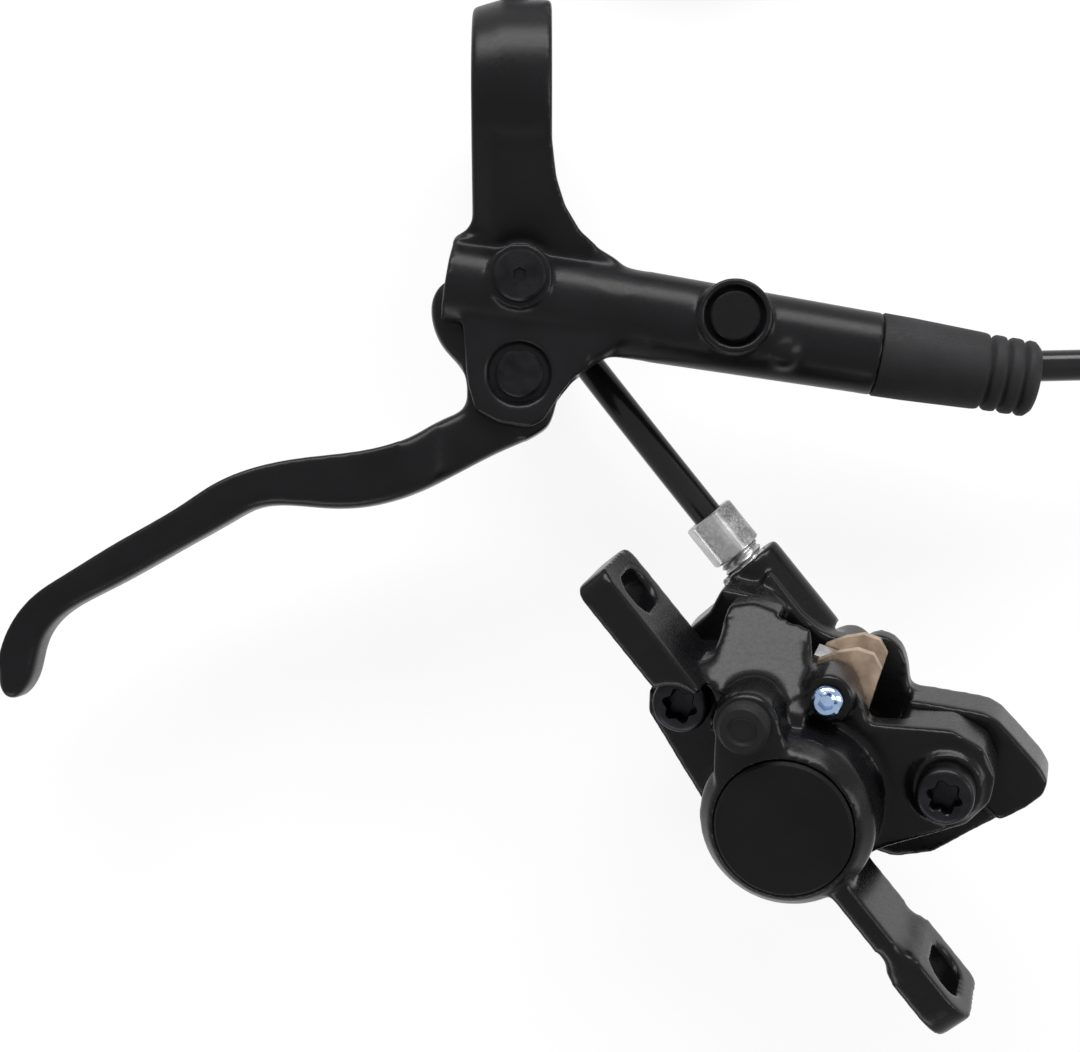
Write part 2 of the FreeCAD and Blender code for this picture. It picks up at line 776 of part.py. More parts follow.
PIN_END = S.ear_half + 1.4
turned(
    "pivot_pin",
    [
        (0, -PIN_END),
        (S.pivot_radius - 0.3, -PIN_END),
        (S.pivot_radius, 0.3 - PIN_END),
        (S.pivot_radius, PIVOT_SEAT),
        (PIVOT_HEAD, PIVOT_SEAT),
        (PIVOT_HEAD, PIVOT_SEAT + 0.9),
        (PIVOT_HEAD - 0.3, PIVOT_SEAT + 1.2),
        (0, PIVOT_SEAT + 1.2),
    ],
    ROW_FRAME,
    (S.pivot_x, -S.pivot_drop, 0),
)
turned(
    "pivot_bush",
    [
        (S.pivot_radius + S.running_gap, -S.hub_half - 0.1),
        (S.pivot_radius + 1.1, -S.hub_half - 0.1),
        (S.pivot_radius + 1.1, S.hub_half + 0.1),
        (S.pivot_radius + S.running_gap, S.hub_half + 0.1),
    ],
    ROW_FRAME,
    (S.pivot_x, -S.pivot_drop, 0),
)
turned(
    "pivot_clip",
    [
        (S.pivot_radius + S.seat_gap, -S.ear_half - 0.8),
        (S.pivot_radius + 1.3, -S.ear_half - 0.8),
        (S.pivot_radius + 1.3, -S.ear_half),
        (S.pivot_radius + S.seat_gap, -S.ear_half),
    ],
    ROW_FRAME,
    (S.pivot_x, -S.pivot_drop, 0),
)


# Pieces along the cylinder: each is turned about the bore's axis, and its heights are distances from the open end

SCREW_BACK = 1.4
SCREW_TIP = 6.1
ROD_GAP = 0.3
ROD_HEAD = SCREW_TIP + ROD_GAP
PISTON_START = S.bore_start + 5.4
PISTON_LENGTH = 21.0
PISTON_END = PISTON_START + PISTON_LENGTH
LAND = S.bore_radius - S.running_gap
CORE = 2.7
CUP_LENGTH = 2.2
PRIMARY_AT = PISTON_END - 4.2
SECONDARY_AT = PISTON_START + 3.0


def on_bore(label, profile):
    return turned(label, profile, ROW_FRAME, on_barrel(0, 0, BORE_LEVEL), ALONG_BARREL)


on_bore(
    "reach_screw",
    [
        (0, SCREW_BACK),
        (2.0, SCREW_BACK),
        (2.0, SCREW_TIP - 1.6),
        (1.3, SCREW_TIP - 0.5),
        (0.7, SCREW_TIP),
        (0, SCREW_TIP),
    ],
)
on_bore(
    "push_rod",
    [
        (0, ROD_HEAD),
        (2.7, ROD_HEAD),
        (3.0, ROD_HEAD + 0.3),
        (3.0, ROD_HEAD + 1.6),
        (1.8, ROD_HEAD + 2.2),
        (1.8, PISTON_START),
        (0, PISTON_START),
    ],
)
on_bore(
    "master_piston",
    [
        (0, PISTON_START),
        (LAND, PISTON_START),
        (LAND, SECONDARY_AT - 0.1),
        (CORE, SECONDARY_AT - 0.1),
        (CORE, SECONDARY_AT + CUP_LENGTH + 0.1),
        (LAND, SECONDARY_AT + CUP_LENGTH + 0.1),
        (LAND, SECONDARY_AT + CUP_LENGTH + 1.6),
        (CORE, SECONDARY_AT + CUP_LENGTH + 2.6),
        (CORE, PRIMARY_AT - 2.0),
        (LAND, PRIMARY_AT - 1.2),
        (LAND, PRIMARY_AT - 0.1),
        (CORE, PRIMARY_AT - 0.1),
        (CORE, PRIMARY_AT + CUP_LENGTH + 0.1),
        (LAND - 0.4, PRIMARY_AT + CUP_LENGTH + 0.1),
        (LAND - 0.4, PISTON_END),
        (0, PISTON_END),
    ],
)
for cup_label, cup_at in (("primary_cup", PRIMARY_AT), ("secondary_cup", SECONDARY_AT)):
    on_bore(
        cup_label,
        [
            (CORE + S.seat_gap, cup_at),
            (LAND - 0.5, cup_at),
            (LAND, cup_at + CUP_LENGTH - 0.3),
            (LAND, cup_at + CUP_LENGTH),
            (CORE + 0.8, cup_at + CUP_LENGTH),
            (CORE + 0.5, cup_at + CUP_LENGTH - 0.8),
            (CORE + S.seat_gap, cup_at + CUP_LENGTH - 0.8),
        ],
    )

SPRING_WIRE = 0.4
SPRING_TURNS = 7
spring_radius = S.bore_radius - SPRING_WIRE - 0.6
spring_room = S.bore_end - PISTON_END - SPRING_WIRE * 2 - 0.1


def return_spring():
    """A coil spring between the piston and the bore's end."""
    helix = made("Part::Helix", "spring_line", Radius=spring_radius, Height=spring_room)
    bind(helix, "Pitch", spring_room / SPRING_TURNS)
    wire = made("Part::Circle", "spring_wire", (spring_radius, 0, 0), Rotation(Vector(1, 0, 0), 90))
    wire.Radius = SPRING_WIRE
    coil = doc.addObject("Part::Sweep", "return_spring")
    coil.Sections = [wire]
    coil.Spine = (helix, ["Edge1"])
    coil.Solid = True
    coil.Frenet = True
    start = on_barrel(PISTON_END + SPRING_WIRE + 0.05, 0, BORE_LEVEL)
    return keep("return_spring", coil, ROW_FRAME, start, ALONG_BARREL)


return_spring()


# Hose end at the lever: olive, nut and rubber boot

OLIVE_LENGTH = 3.0
NUT_HEX_START = 1.2
NUT_HEX_LENGTH = 5.0
HOSE_CLEAR = S.hose_radius + S.seat_gap


def on_hose_axis(label, profile):
    return turned(label, profile, ROW_FRAME, on_barrel(0, 0, 0), ALONG_BARREL)


on_hose_axis(
    "lever_olive",
    [
        (HOSE_CLEAR, SOCKET_START + 0.5),
        (HOSE_CLEAR + 0.5, SOCKET_START + 0.5),
        (S.nut_thread_radius - 0.1, SOCKET_START + 1.5),
        (HOSE_CLEAR + 0.5, SOCKET_START + OLIVE_LENGTH),
        (HOSE_CLEAR, SOCKET_START + OLIVE_LENGTH),
    ],
)
lever_nut = on_hose_axis(
    "lever_hose_nut",
    [
        (HOSE_CLEAR, SOCKET_START + OLIVE_LENGTH + 0.05),
        (S.nut_thread_radius, SOCKET_START + OLIVE_LENGTH + 0.05),
        (S.nut_thread_radius, S.barrel_length + NUT_HEX_START + 1.0),
        (HOSE_CLEAR, S.barrel_length + NUT_HEX_START + 1.0),
    ],
)


def hex_with_bore(body, label, level, height):
    """A hexagonal head on a nut, with the hose's hole through it."""
    pad(body, label + "_head", hexagon(S.nut_flats), level, height)
    sketch = body.newObject("Sketcher::SketchObject", label + "_hole_outline")
    sketch.AttachmentSupport = origin_plane(body, "XY_Plane")
    sketch.MapMode = "FlatFace"
    bind(sketch, "AttachmentOffset.Base.z", level + height)
    sketch.addGeometry(Part.Circle(Vector(0, 0, 0), Vector(0, 0, 1), float(HOSE_CLEAR)))
    sketch.addConstraint(Sketcher.Constraint("Coincident", 0, 3, -1, 1))
    size_at = sketch.addConstraint(Sketcher.Constraint("Radius", 0, float(HOSE_CLEAR)))
    sketch.setExpression("Constraints[{}]".format(size_at), HOSE_CLEAR.formula)
    hole = body.newObject("PartDesign::Pocket", label + "_hole")
    hole.Profile = sketch
    bind(hole, "Length", height)


hex_with_bore(lever_nut, "lever_nut", S.barrel_length + NUT_HEX_START, NUT_HEX_LENGTH)

BOOT_WALL = 1.4
BOOT_START = S.barrel_length + 0.05
BOOT_END = S.barrel_length + S.boot_length
BOOT_HOLLOW = S.barrel_length + NUT_HEX_START + NUT_HEX_LENGTH + 0.6
RIB_PITCH = 2.7


def boot_profile():
    """The boot: smooth towards the cylinder, three ribs near its rounded end."""
    first_rib = BOOT_END - 8.6
    corners = [
        (HOSE_CLEAR, BOOT_END),
        (HOSE_CLEAR, BOOT_HOLLOW + 1.0),
        (S.boot_radius - BOOT_WALL, BOOT_HOLLOW),
        (S.boot_radius - BOOT_WALL, BOOT_START),
        (S.boot_radius, BOOT_START),
        (S.boot_end_radius, first_rib),
    ]
    for i in range(3):
        rib = first_rib + i * RIB_PITCH
        corners += [
            (S.boot_end_radius - 0.7, rib + 0.35),
            (S.boot_end_radius - 0.7, rib + 0.75),
            (S.boot_end_radius, rib + 1.1),
            (S.boot_end_radius, rib + RIB_PITCH),
        ]
    corners[-1] = (S.boot_end_radius, BOOT_END - 0.9)
    corners += [(S.boot_end_radius - 0.35, BOOT_END - 0.25), (S.boot_end_radius - 1.2, BOOT_END)]
    return corners


on_hose_axis("hose_boot", boot_profile())


# Caliper halves. Heights are over the rotor's plane, towards the rider's side.

ROTOR_HALF = S.rotor_thickness / 2
LINING_FACE = ROTOR_HALF + S.pad_gap
PLATE_FACE = LINING_FACE + S.lining_thickness
PLATE_BACK = PLATE_FACE + S.plate_thickness
CAVITY_HALF = PLATE_BACK + 0.4
SLOT_HALF = ROTOR_HALF + 1.3
WING_TOP = 11.0
WING_BOTTOM = 10.5
PIN_BOSS = S.pad_pin_radius + 2.4
PIN_SEAT = 15.5
PIN_FAR = 16.0
SEAL_DEPTH = 1.2
NIPPLE_SEAT = S.outer_depth - 0.5
CHANNEL = (-15.0, 18.8)
COVER_THICKNESS = 1.4
BOLT_X, BOLT_Y = S.body_bolt_spread, S.body_bolt_rise

OUTER_OUTLINE = [
    (-BOLT_X - 5.0, BOLT_Y - 4.2),
    (-BOLT_X - 5.7, BOLT_Y - 0.5),
    (-BOLT_X - 5.0, BOLT_Y + 3.6),
    (-BOLT_X - 1.5, BOLT_Y + 6.0),
    (-BOLT_X + 2.2, BOLT_Y + 7.4),
    (-BOLT_X + 1.6, BOLT_Y + 14.6),
    (-BOLT_X + 5.0, BOLT_Y + 16.0),
    (-6.0, S.pad_pin_rise + 7.6),
    (-4.2, S.pad_pin_rise + 2.0),
    (4.0, S.pad_pin_rise + 1.0),
    (6.8, S.pad_pin_rise - 3.0),
    (BOLT_X - 2.0, BOLT_Y + 8.4),
    (BOLT_X + 3.4, BOLT_Y + 7.2),
    (BOLT_X + 6.4, BOLT_Y + 3.6),
    (BOLT_X + 6.8, BOLT_Y - 0.4),
    (BOLT_X + 4.6, BOLT_Y - 5.0),
    (S.housing_radius + 1.0, -3.4),
    (S.housing_radius - 2.4, -7.6),
    (4.0, -S.housing_radius + 1.2),
    (-6.5, -S.housing_radius + 1.8),
]
INNER_OUTLINE = [
    (-BOLT_X - 5.0, BOLT_Y - 4.4),
    (-BOLT_X - 5.6, BOLT_Y + 2.0),
    (-BOLT_X - 4.2, BOLT_Y + 6.2),
    (-BOLT_X - 1.6, BOLT_Y + 10.4),
    (-BOLT_X - 0.8, BOLT_Y + 14.8),
    (-BOLT_X + 6.0, BOLT_Y + 15.6),
    (-5.2, S.pad_pin_rise + 3.6),
    (1.4, S.pad_pin_rise + 3.2),
    (2.4, S.pad_pin_rise + 5.2),
    (3.8, S.pad_pin_rise + 6.1),
    (5.8, S.pad_pin_rise + 6.1),
    (7.8, S.pad_pin_rise + 5.1),
    (9.3, S.pad_pin_rise + 3.1),
    (11.0, S.pad_pin_rise - 0.8),
    (BOLT_X - 4.1, BOLT_Y + 8.3),
    (BOLT_X + 2.0, BOLT_Y + 9.3),
    (BOLT_X + 4.4, BOLT_Y + 8.9),
    (BOLT_X + 7.5, BOLT_Y + 7.1),
    (BOLT_X + 12.7, BOLT_Y + 3.9),
    (BOLT_X + 14.7, BOLT_Y + 2.0),
    (BOLT_X + 14.6, BOLT_Y - 0.4),
    (BOLT_X + 12.7, BOLT_Y - 3.3),
    (BOLT_X + 6.6, BOLT_Y - 10.2),
    (BOLT_X + 1.8, BOLT_Y - 16.0),
    (S.housing_radius + 4.0, -8.8),
    (S.housing_radius - 2.0, -9.0),
    (4.0, -S.housing_radius + 1.6),
    (-6.5, -S.housing_radius + 2.0),
]


def in_rotor_frame(corner):
    """A place of the ears' frame, seen in the rotor's frame."""
    return EARS_IN_ROTOR.multVec(Vector(*(float(part) for part in corner)))


def in_ear_frame(obj):
    """Moves a primitive that was placed in the ears' frame into the rotor's frame."""
    place = EARS_IN_ROTOR.multiply(obj.Placement)
    for letter in "xyz":
        obj.setExpression("Placement.Base." + letter, None)
    obj.Placement = place
    return obj


def ear(name, side):
    """A mounting ear at one end of the ears' line, with the arm that carries it."""
    tip = S.post_spacing / 2 + (S.ear_end_low if side > 0 else S.ear_end)
    root = S.post_spacing / 2 - 7.2 if side > 0 else 20.0
    length = tip - root
    start = root if side > 0 else -tip
    near_corner, far_corner = (5.4, 2.0) if side > 0 else (2.8, 2.2)
    arm = block(
        name,
        (length, S.ear_thickness, S.ear_width),
        (start, -S.ear_thickness, -S.ear_width / 2),
    )
    rounded = doc.addObject("Part::Fillet", name + "_rounded")
    rounded.Base = arm
    doc.recompute()
    ends = []
    for number, edge in enumerate(arm.Shape.Edges, start=1):
        along_y = abs(edge.Vertexes[0].Y - edge.Vertexes[1].Y) > float(S.ear_thickness) / 2
        at_tip = abs(edge.CenterOfMass.x) > float(tip) - 0.5
        if along_y and at_tip:
            corner = near_corner if edge.CenterOfMass.z > 0 else far_corner
            ends.append((number, corner, corner))
    rounded.Edges = ends
    return in_ear_frame(rounded)


def ear_slot(name, side):
    """The slot through an ear, long across the rotor's plane."""
    middle = side * S.post_spacing / 2
    through = 30.0
    half = S.slot_travel / 2
    ends = [
        in_ear_frame(rod("{}_end_{}".format(name, i), S.slot_radius, through, (middle, -15.0, level), ALONG_Y))
        for i, level in enumerate((-half, half))
    ]
    waist = block(name, (S.slot_radius * 2, through, S.slot_travel), (middle - S.slot_radius, -15.0, -half))
    return ends + [in_ear_frame(waist)]


def rotor_room():
    """The slot that the rotor turns in, and the pads' window from the outside to the housings."""
    window_top = S.pad_pin_rise + 14.0
    return [
        rod(
            "rotor_slot",
            S.rotor_radius + S.rotor_room,
            SLOT_HALF * 2,
            (0, 8.0 - S.rotor_radius, -SLOT_HALF),
        ),
        block(
            "pad_window",
            (S.pad_half_width * 2 + 0.8, window_top + 20.0, CAVITY_HALF * 2),
            (-S.pad_half_width - 0.4, -20.0, -CAVITY_HALF),
        ),
    ]


def piston_room(name, side, depth):
    """The bore of one piston with its seal's groove."""
    start = PLATE_BACK
    bore_depth = S.piston_length + 1.0
    level = start if side > 0 else -start - bore_depth
    groove = start + 3.0 if side > 0 else -start - 3.0 - 2.2
    return [
        rod(name + "_bore", S.piston_radius + S.running_gap, bore_depth, (0, 0, level)),
        rod(name + "_groove", S.piston_radius + SEAL_DEPTH + S.seat_gap, 2.2, (0, 0, groove)),
        rod(name + "_relief", S.piston_radius - 2.0, bore_depth + 1.4, (0, 0, level if side > 0 else level - 1.4)),
    ]


def outer_half():
    housing_wall = S.outer_depth - CAVITY_HALF
    shoulder = cut(
        "outer_shoulder",
        plate("outer_wing", OUTER_OUTLINE, 0, 17.5),
        [
            block("shoulder_slope", (80.0, 30.0, 30.0), (-40.0, 14.6, 17.6), Rotation(Vector(1, 0, 0), -47.0)),
            block("wing_top_right", (60.0, 60.0, 30.0), (-2.0, -30.0, WING_TOP)),
            block("wing_top_low", (60.0, 28.0, 30.0), (-40.0, -20.0, WING_TOP + 1.2)),
            rod("bolt_front_room", S.body_bolt_head + 1.2, 20.0, (-BOLT_X, BOLT_Y, S.bolt_seat)),
        ],
    )
    web = plate(
        "bleed_web",
        [(-13.8, 9.4), (-12.4, 4.0), (-4.0, -8.0), (8.0, 6.0), (-2.0, 10.0), (-6.0, 15.6)],
        4.0,
        S.outer_depth - 4.5,
    )
    solid = fused(
        "outer_casting",
        [
            shoulder,
            rod("outer_housing", S.housing_radius, housing_wall - 3.0, (0, 0, CAVITY_HALF - 0.5)),
            cone(
                "outer_rim",
                S.housing_radius,
                S.cover_radius + 0.8,
                3.5,
                (0, 0, S.outer_depth - 3.5),
            ),
            web,
            rod("bleed_boss", S.boss_radius, NIPPLE_SEAT - 4.0, (S.nipple_x, S.nipple_y, 4.0)),
            rod("outer_bolt_boss_1", S.body_bolt_head + 1.0, S.bolt_seat, (-BOLT_X, BOLT_Y, 0)),
            rod("outer_bolt_boss_2", S.body_bolt_head + 1.1, S.bolt_seat, (BOLT_X, BOLT_Y, 0)),
            rod("outer_pin_boss", PIN_BOSS, PIN_SEAT, (0, S.pad_pin_rise, 0)),
            in_ear_frame(
                block(
                    "ear_low_arm",
                    (S.post_spacing / 2 - 20.0, S.ear_thickness - 2.2, S.ear_width),
                    (14.0, 1.2 - S.ear_thickness, -S.ear_width / 2),
                )
            ),
            ear("ear_low", 1),
            ear("ear_high", -1),
        ],
    )
    tools = rotor_room() + piston_room("outer_piston", 1, S.outer_depth) + ear_slot("slot_low", 1)
    tools += ear_slot("slot_high", -1)
    tools += [
        block("outer_split", (120.0, 120.0, 40.0), (-60.0, -60.0, -40.0)),
        rod("cover_seat", S.cover_radius + 0.1, 5.0, (0, 0, S.outer_depth - COVER_THICKNESS + 0.6)),
        rod("outer_channel", 1.2, 12.0, (*CHANNEL, -1.0)),
        rod("nipple_hole", 2.2 + S.seat_gap, 20.0, (S.nipple_x, S.nipple_y, 15.0)),
        rod("outer_pin_hole", S.pad_pin_radius + S.running_gap, 30.0, (0, S.pad_pin_rise, 0)),
        in_ear_frame(
            block(
                "post_seat_cut",
                (21.8, 8.0, 24.0),
                (-S.post_spacing / 2 - 8.9, -S.ear_thickness - 8.0, -12.0),
            )
        ),
    ]
    for i, side in enumerate((-1, 1)):
        hole_at, head_at = (side * BOLT_X, BOLT_Y, -1.0), (side * BOLT_X, BOLT_Y, S.bolt_seat)
        tools.append(rod("outer_bolt_hole_{}".format(i), S.body_bolt_radius + S.bolt_room, 30.0, hole_at))
        tools.append(rod("bolt_head_room_{}".format(i), S.body_bolt_head + 0.4, 20.0, head_at))
    casting = cut("outer_half_casting", solid, tools)
    return keep("caliper_outer_half", casting, ROTOR_FRAME)


def hose_boss():
    """The boss that takes the hose, along the ears' line, thicker on its outer side."""
    at = (-S.hose_boss_start, S.hose_boss_rise, -S.hose_boss_depth)
    beside = (-S.hose_boss_start, S.hose_boss_rise + 1.1, -S.hose_boss_depth)
    length = 17.0
    return [
        in_ear_frame(rod("hose_boss", S.boss_radius, length, at, ALONG_X)),
        in_ear_frame(rod("hose_boss_side", S.boss_radius, length, beside, ALONG_X)),
    ]


def boss_web():
    """The web that joins the hose boss to the inner half."""
    level = float(S.rotor_offset - S.hose_boss_depth)
    first = in_rotor_frame((-S.hose_boss_start + 3.0, S.hose_boss_rise + 3.6, 0))
    last = in_rotor_frame((-9.0, S.hose_boss_rise + 3.6, 0))
    corners = [(first.x, first.y), (last.x, last.y), (-2.0, 12.0), (-BOLT_X + 2.0, BOLT_Y + 4.0)]
    return plate("boss_web", corners, level - 2.4, 9.2)


def inner_half():
    solid = fused(
        "inner_casting",
        [
            plate("inner_wing", INNER_OUTLINE, -WING_BOTTOM, WING_BOTTOM),
            rod("inner_housing", S.housing_radius, S.inner_depth - CAVITY_HALF - 1.5, (0, 0, 3.0 - S.inner_depth)),
            cone("inner_rim", S.housing_radius - 2.6, S.housing_radius, 3.0, (0, 0, -S.inner_depth)),
            rod("inner_bolt_boss_1", S.body_bolt_head + 1.4, 12.0, (-BOLT_X, BOLT_Y, -12.0)),
            rod("inner_bolt_boss_2", S.body_bolt_head + 3.4, 12.4, (BOLT_X, BOLT_Y, -12.4)),
            rod("inner_pin_boss", PIN_BOSS, PIN_FAR, (0, S.pad_pin_rise, -PIN_FAR)),
            boss_web(),
        ]
        + hose_boss(),
    )
    socket_depth = 9.5
    socket = rod(
        "inner_hose_socket",
        S.nut_thread_radius + S.seat_gap,
        socket_depth,
        (-S.hose_boss_start - 0.5, S.hose_boss_rise, -S.hose_boss_depth),
        ALONG_X,
    )
    feed = rod("hose_feed", 1.0, 12.0, (-S.hose_boss_start + 8.0, S.hose_boss_rise, -S.hose_boss_depth), ALONG_X)
    tools = rotor_room() + piston_room("inner_piston", -1, S.inner_depth)
    tools += [
        block("inner_split", (120.0, 120.0, 60.0), (-60.0, -60.0, 0)),
        in_ear_frame(socket),
        in_ear_frame(feed),
        rod("inner_channel", 1.2, 12.0, (*CHANNEL, -11.5)),
        rod("seal_groove", 2.95, 3.0, (*CHANNEL, -1.2)),
        rod("inner_pin_hole", S.pad_pin_radius + S.running_gap, 30.0, (0, S.pad_pin_rise, -29.0)),
        rod("pin_clip_room", S.pad_pin_radius + 1.9, 10.0, (0, S.pad_pin_rise, -PIN_FAR - 10.0)),
    ]
    for i, side in enumerate((-1, 1)):
        at = (side * BOLT_X, BOLT_Y, -10.0)
        tools.append(rod("inner_bolt_hole_{}".format(i), S.body_bolt_radius + S.seat_gap, 30.0, at))
    casting = cut("inner_half_casting", solid, tools)
    return keep("caliper_inner_half", casting, ROTOR_FRAME)


outer_half()
inner_half()


# Small pieces of the caliper

turned(
    "round_cover",
    [
        (0, 0),
        (S.cover_radius, 0),
        (S.cover_radius, COVER_THICKNESS - 0.4),
        (S.cover_radius - 0.4, COVER_THICKNESS),
        (0, COVER_THICKNESS),
    ],
    ROTOR_FRAME,
    (0, 0, S.outer_depth - COVER_THICKNESS + 0.62),
)
for bolt_label, side in (("body_bolt_front", -1), ("body_bolt_rear", 1)):
    socket_bolt(
        bolt_label,
        S.body_bolt_radius,
        S.body_bolt_head,
        4.6,
        S.bolt_seat + 8.6,
        Size("(4.4)", 4.4),
        ROTOR_FRAME,
        (side * BOLT_X, BOLT_Y, S.bolt_seat + 0.02),
        None,
    )
turned(
    "transfer_seal",
    [
        (1.5, -0.9),
        (1.8, -1.17),
        (2.6, -1.17),
        (2.9, -0.9),
        (2.9, -0.3),
        (2.6, -0.03),
        (1.8, -0.03),
        (1.5, -0.3),
    ],
    ROTOR_FRAME,
    (*CHANNEL, 0),
)

for half_label, side in (("outer", 1), ("inner", -1)):
    direction = Rotation() if side > 0 else UPSIDE_DOWN
    turned(
        half_label + "_piston",
        [
            (0, PLATE_BACK + S.piston_length - 2.2),
            (S.piston_radius - 2.2, PLATE_BACK + S.piston_length - 2.2),
            (S.piston_radius - 2.2, PLATE_BACK),
            (S.piston_radius - 0.4, PLATE_BACK),
            (S.piston_radius, PLATE_BACK + 0.4),
            (S.piston_radius, PLATE_BACK + S.piston_length),
            (0, PLATE_BACK + S.piston_length),
        ],
        ROTOR_FRAME,
        (0, 0, 0),
        direction,
    )
    turned(
        half_label + "_piston_seal",
        [
            (S.piston_radius + S.running_gap, PLATE_BACK + 3.02),
            (S.piston_radius + SEAL_DEPTH, PLATE_BACK + 3.02),
            (S.piston_radius + SEAL_DEPTH, PLATE_BACK + 5.18),
            (S.piston_radius + S.running_gap, PLATE_BACK + 5.18),
        ],
        ROTOR_FRAME,
        (0, 0, 0),
        direction,
    )
    mirror = 1 if side > 0 else -1
    plate_low = PLATE_FACE if side > 0 else -PLATE_BACK
    tab_top = S.pad_pin_rise + 6.0
    width, height = S.pad_half_width, S.pad_half_height
    outline = plate(
        half_label + "_plate_blank",
        [
            (-width + 2.0, -height),
            (width - 2.0, -height),
            (width, -height + 3.0),
            (width, height - 2.0),
            (width - 3.0, height + 1.0),
            (6.0, height + 2.0),
            (6.0, tab_top - 1.8),
            (4.2, tab_top),
            (1.6, tab_top),
            (-1.0, tab_top - 1.4),
            (-3.6, tab_top - 3.6),
            (-4.4, height + 2.0),
            (-width + 3.0, height + 1.0),
            (-width, height - 2.0),
            (-width, -height + 3.0),
        ],
        plate_low,
        S.plate_thickness,
    )
    eye = rod(half_label + "_plate_eye", S.pad_pin_radius + 0.35, 20.0, (0, S.pad_pin_rise, -10.0))
    keep(half_label + "_pad_plate", cut(half_label + "_plate", outline, [eye]), ROTOR_FRAME)
    lining_low = LINING_FACE if side > 0 else -PLATE_FACE
    lining = plate(
        half_label + "_lining_block",
        [
            (-width + 2.2, -height + 1.0),
            (width - 2.2, -height + 1.0),
            (width - 1.0, -height + 3.4),
            (width - 1.0, height - 2.6),
            (width - 3.6, height - 0.2),
            (-width + 3.6, height - 0.2),
            (-width + 1.0, height - 2.6),
            (-width + 1.0, -height + 3.4),
        ],
        lining_low,
        S.lining_thickness,
    )
    keep(half_label + "_pad_lining", lining, ROTOR_FRAME)


def pad_spring():
    """A sheet spring that sits over the pin and holds the two pads apart."""
    leaf, reach = 0.4, PLATE_FACE - 0.35
    low, top = S.pad_half_height + 0.4, S.pad_pin_rise + 2.4
    legs = [
        block("spring_leg_out", (9.0, top - low, leaf), (-4.5, low, reach - leaf)),
        block("spring_leg_in", (9.0, top - low, leaf), (-4.5, low, -reach)),
        block("spring_bridge", (9.0, leaf, reach * 2), (-4.5, top - leaf, -reach)),
    ]
    pin_room = rod("spring_pin_room", S.pad_pin_radius + 0.3, 20.0, (0, S.pad_pin_rise, -10.0))
    return keep("pad_spring", cut("pad_spring_sheet", fused("pad_spring_blank", legs), [pin_room]), ROTOR_FRAME)


pad_spring()
turned(
    "pad_pin",
    [
        (0, -PIN_FAR - 1.4),
        (S.pad_pin_radius - 0.3, -PIN_FAR - 1.4),
        (S.pad_pin_radius, -PIN_FAR - 1.1),
        (S.pad_pin_radius, PIN_SEAT + 0.02),
        (2.5, PIN_SEAT + 0.02),
        (2.5, PIN_SEAT + 1.4),
        (2.1, PIN_SEAT + 1.8),
        (0, PIN_SEAT + 1.8),
    ],
    ROTOR_FRAME,
    (0, S.pad_pin_rise, 0),
)
turned(
    "pad_pin_clip",
    [
        (S.pad_pin_radius + S.seat_gap, -PIN_FAR - 0.7),
        (S.pad_pin_radius + 1.3, -PIN_FAR - 0.7),
        (S.pad_pin_radius + 1.3, -PIN_FAR - 0.05),
        (S.pad_pin_radius + S.seat_gap, -PIN_FAR - 0.05),
    ],
    ROTOR_FRAME,
    (0, S.pad_pin_rise, 0),
)
turned(
    "bleed_nipple",
    [(0.7, 16.0), (2.2, 16.0), (2.2, NIPPLE_SEAT), (2.0, NIPPLE_SEAT + 1.9), (0.7, NIPPLE_SEAT + 1.9)],
    ROTOR_FRAME,
    (S.nipple_x, S.nipple_y, 0),
)
turned(
    "bleed_cap",
    [
        (2.25, NIPPLE_SEAT + 0.03),
        (3.9, NIPPLE_SEAT + 0.03),
        (3.9, NIPPLE_SEAT + 2.0),
        (3.3, NIPPLE_SEAT + 2.9),
        (2.3, NIPPLE_SEAT + 2.9),
        (1.9, NIPPLE_SEAT + 2.5),
        (1.6, NIPPLE_SEAT + 2.4),
        (0, NIPPLE_SEAT + 2.4),
        (0, NIPPLE_SEAT + 1.95),
        (2.25, NIPPLE_SEAT + 1.95),
    ],
    ROTOR_FRAME,
    (S.nipple_x, S.nipple_y, 0),
)


# Hose end at the caliper. Heights are distances out of the boss's face, away from the caliper.

HOSE_PORT = (-S.hose_boss_start, S.hose_boss_rise, -S.hose_boss_depth)
OUT_OF_BOSS = Rotation(Vector(0, 1, 0), -90)
turned(
    "caliper_olive",
    [
        (HOSE_CLEAR, -8.6),
        (HOSE_CLEAR + 0.5, -8.6),
        (S.nut_thread_radius - 0.1, -7.4),
        (HOSE_CLEAR + 0.5, -5.6),
        (HOSE_CLEAR, -5.6),
    ],
    EAR_FRAME,
    HOSE_PORT,
    OUT_OF_BOSS,
)
caliper_nut = turned(
    "caliper_hose_nut",
    [(HOSE_CLEAR, -5.5), (S.nut_thread_radius, -5.5), (S.nut_thread_radius, 3.0), (HOSE_CLEAR, 3.0)],
    EAR_FRAME,
    HOSE_PORT,
    OUT_OF_BOSS,
)
CALIPER_HEX_START = 2.1
CALIPER_HEX_LENGTH = 7.7
hex_with_bore(caliper_nut, "caliper_nut", Size("(2.1)", CALIPER_HEX_START), Size("(7.7)", CALIPER_HEX_LENGTH))


# Hose. Its points are chosen by hand: from the caliper's boss down to the floor, under the lever to the put-away
# coil, and back from the coil to the boot.


def from_port(distance):
    """A place on the hose port's axis, at a distance out of the boss's face."""
    port = Vector(*(float(part) for part in HOSE_PORT))
    return EAR_FRAME.multVec(port - Vector(distance, 0, 0))


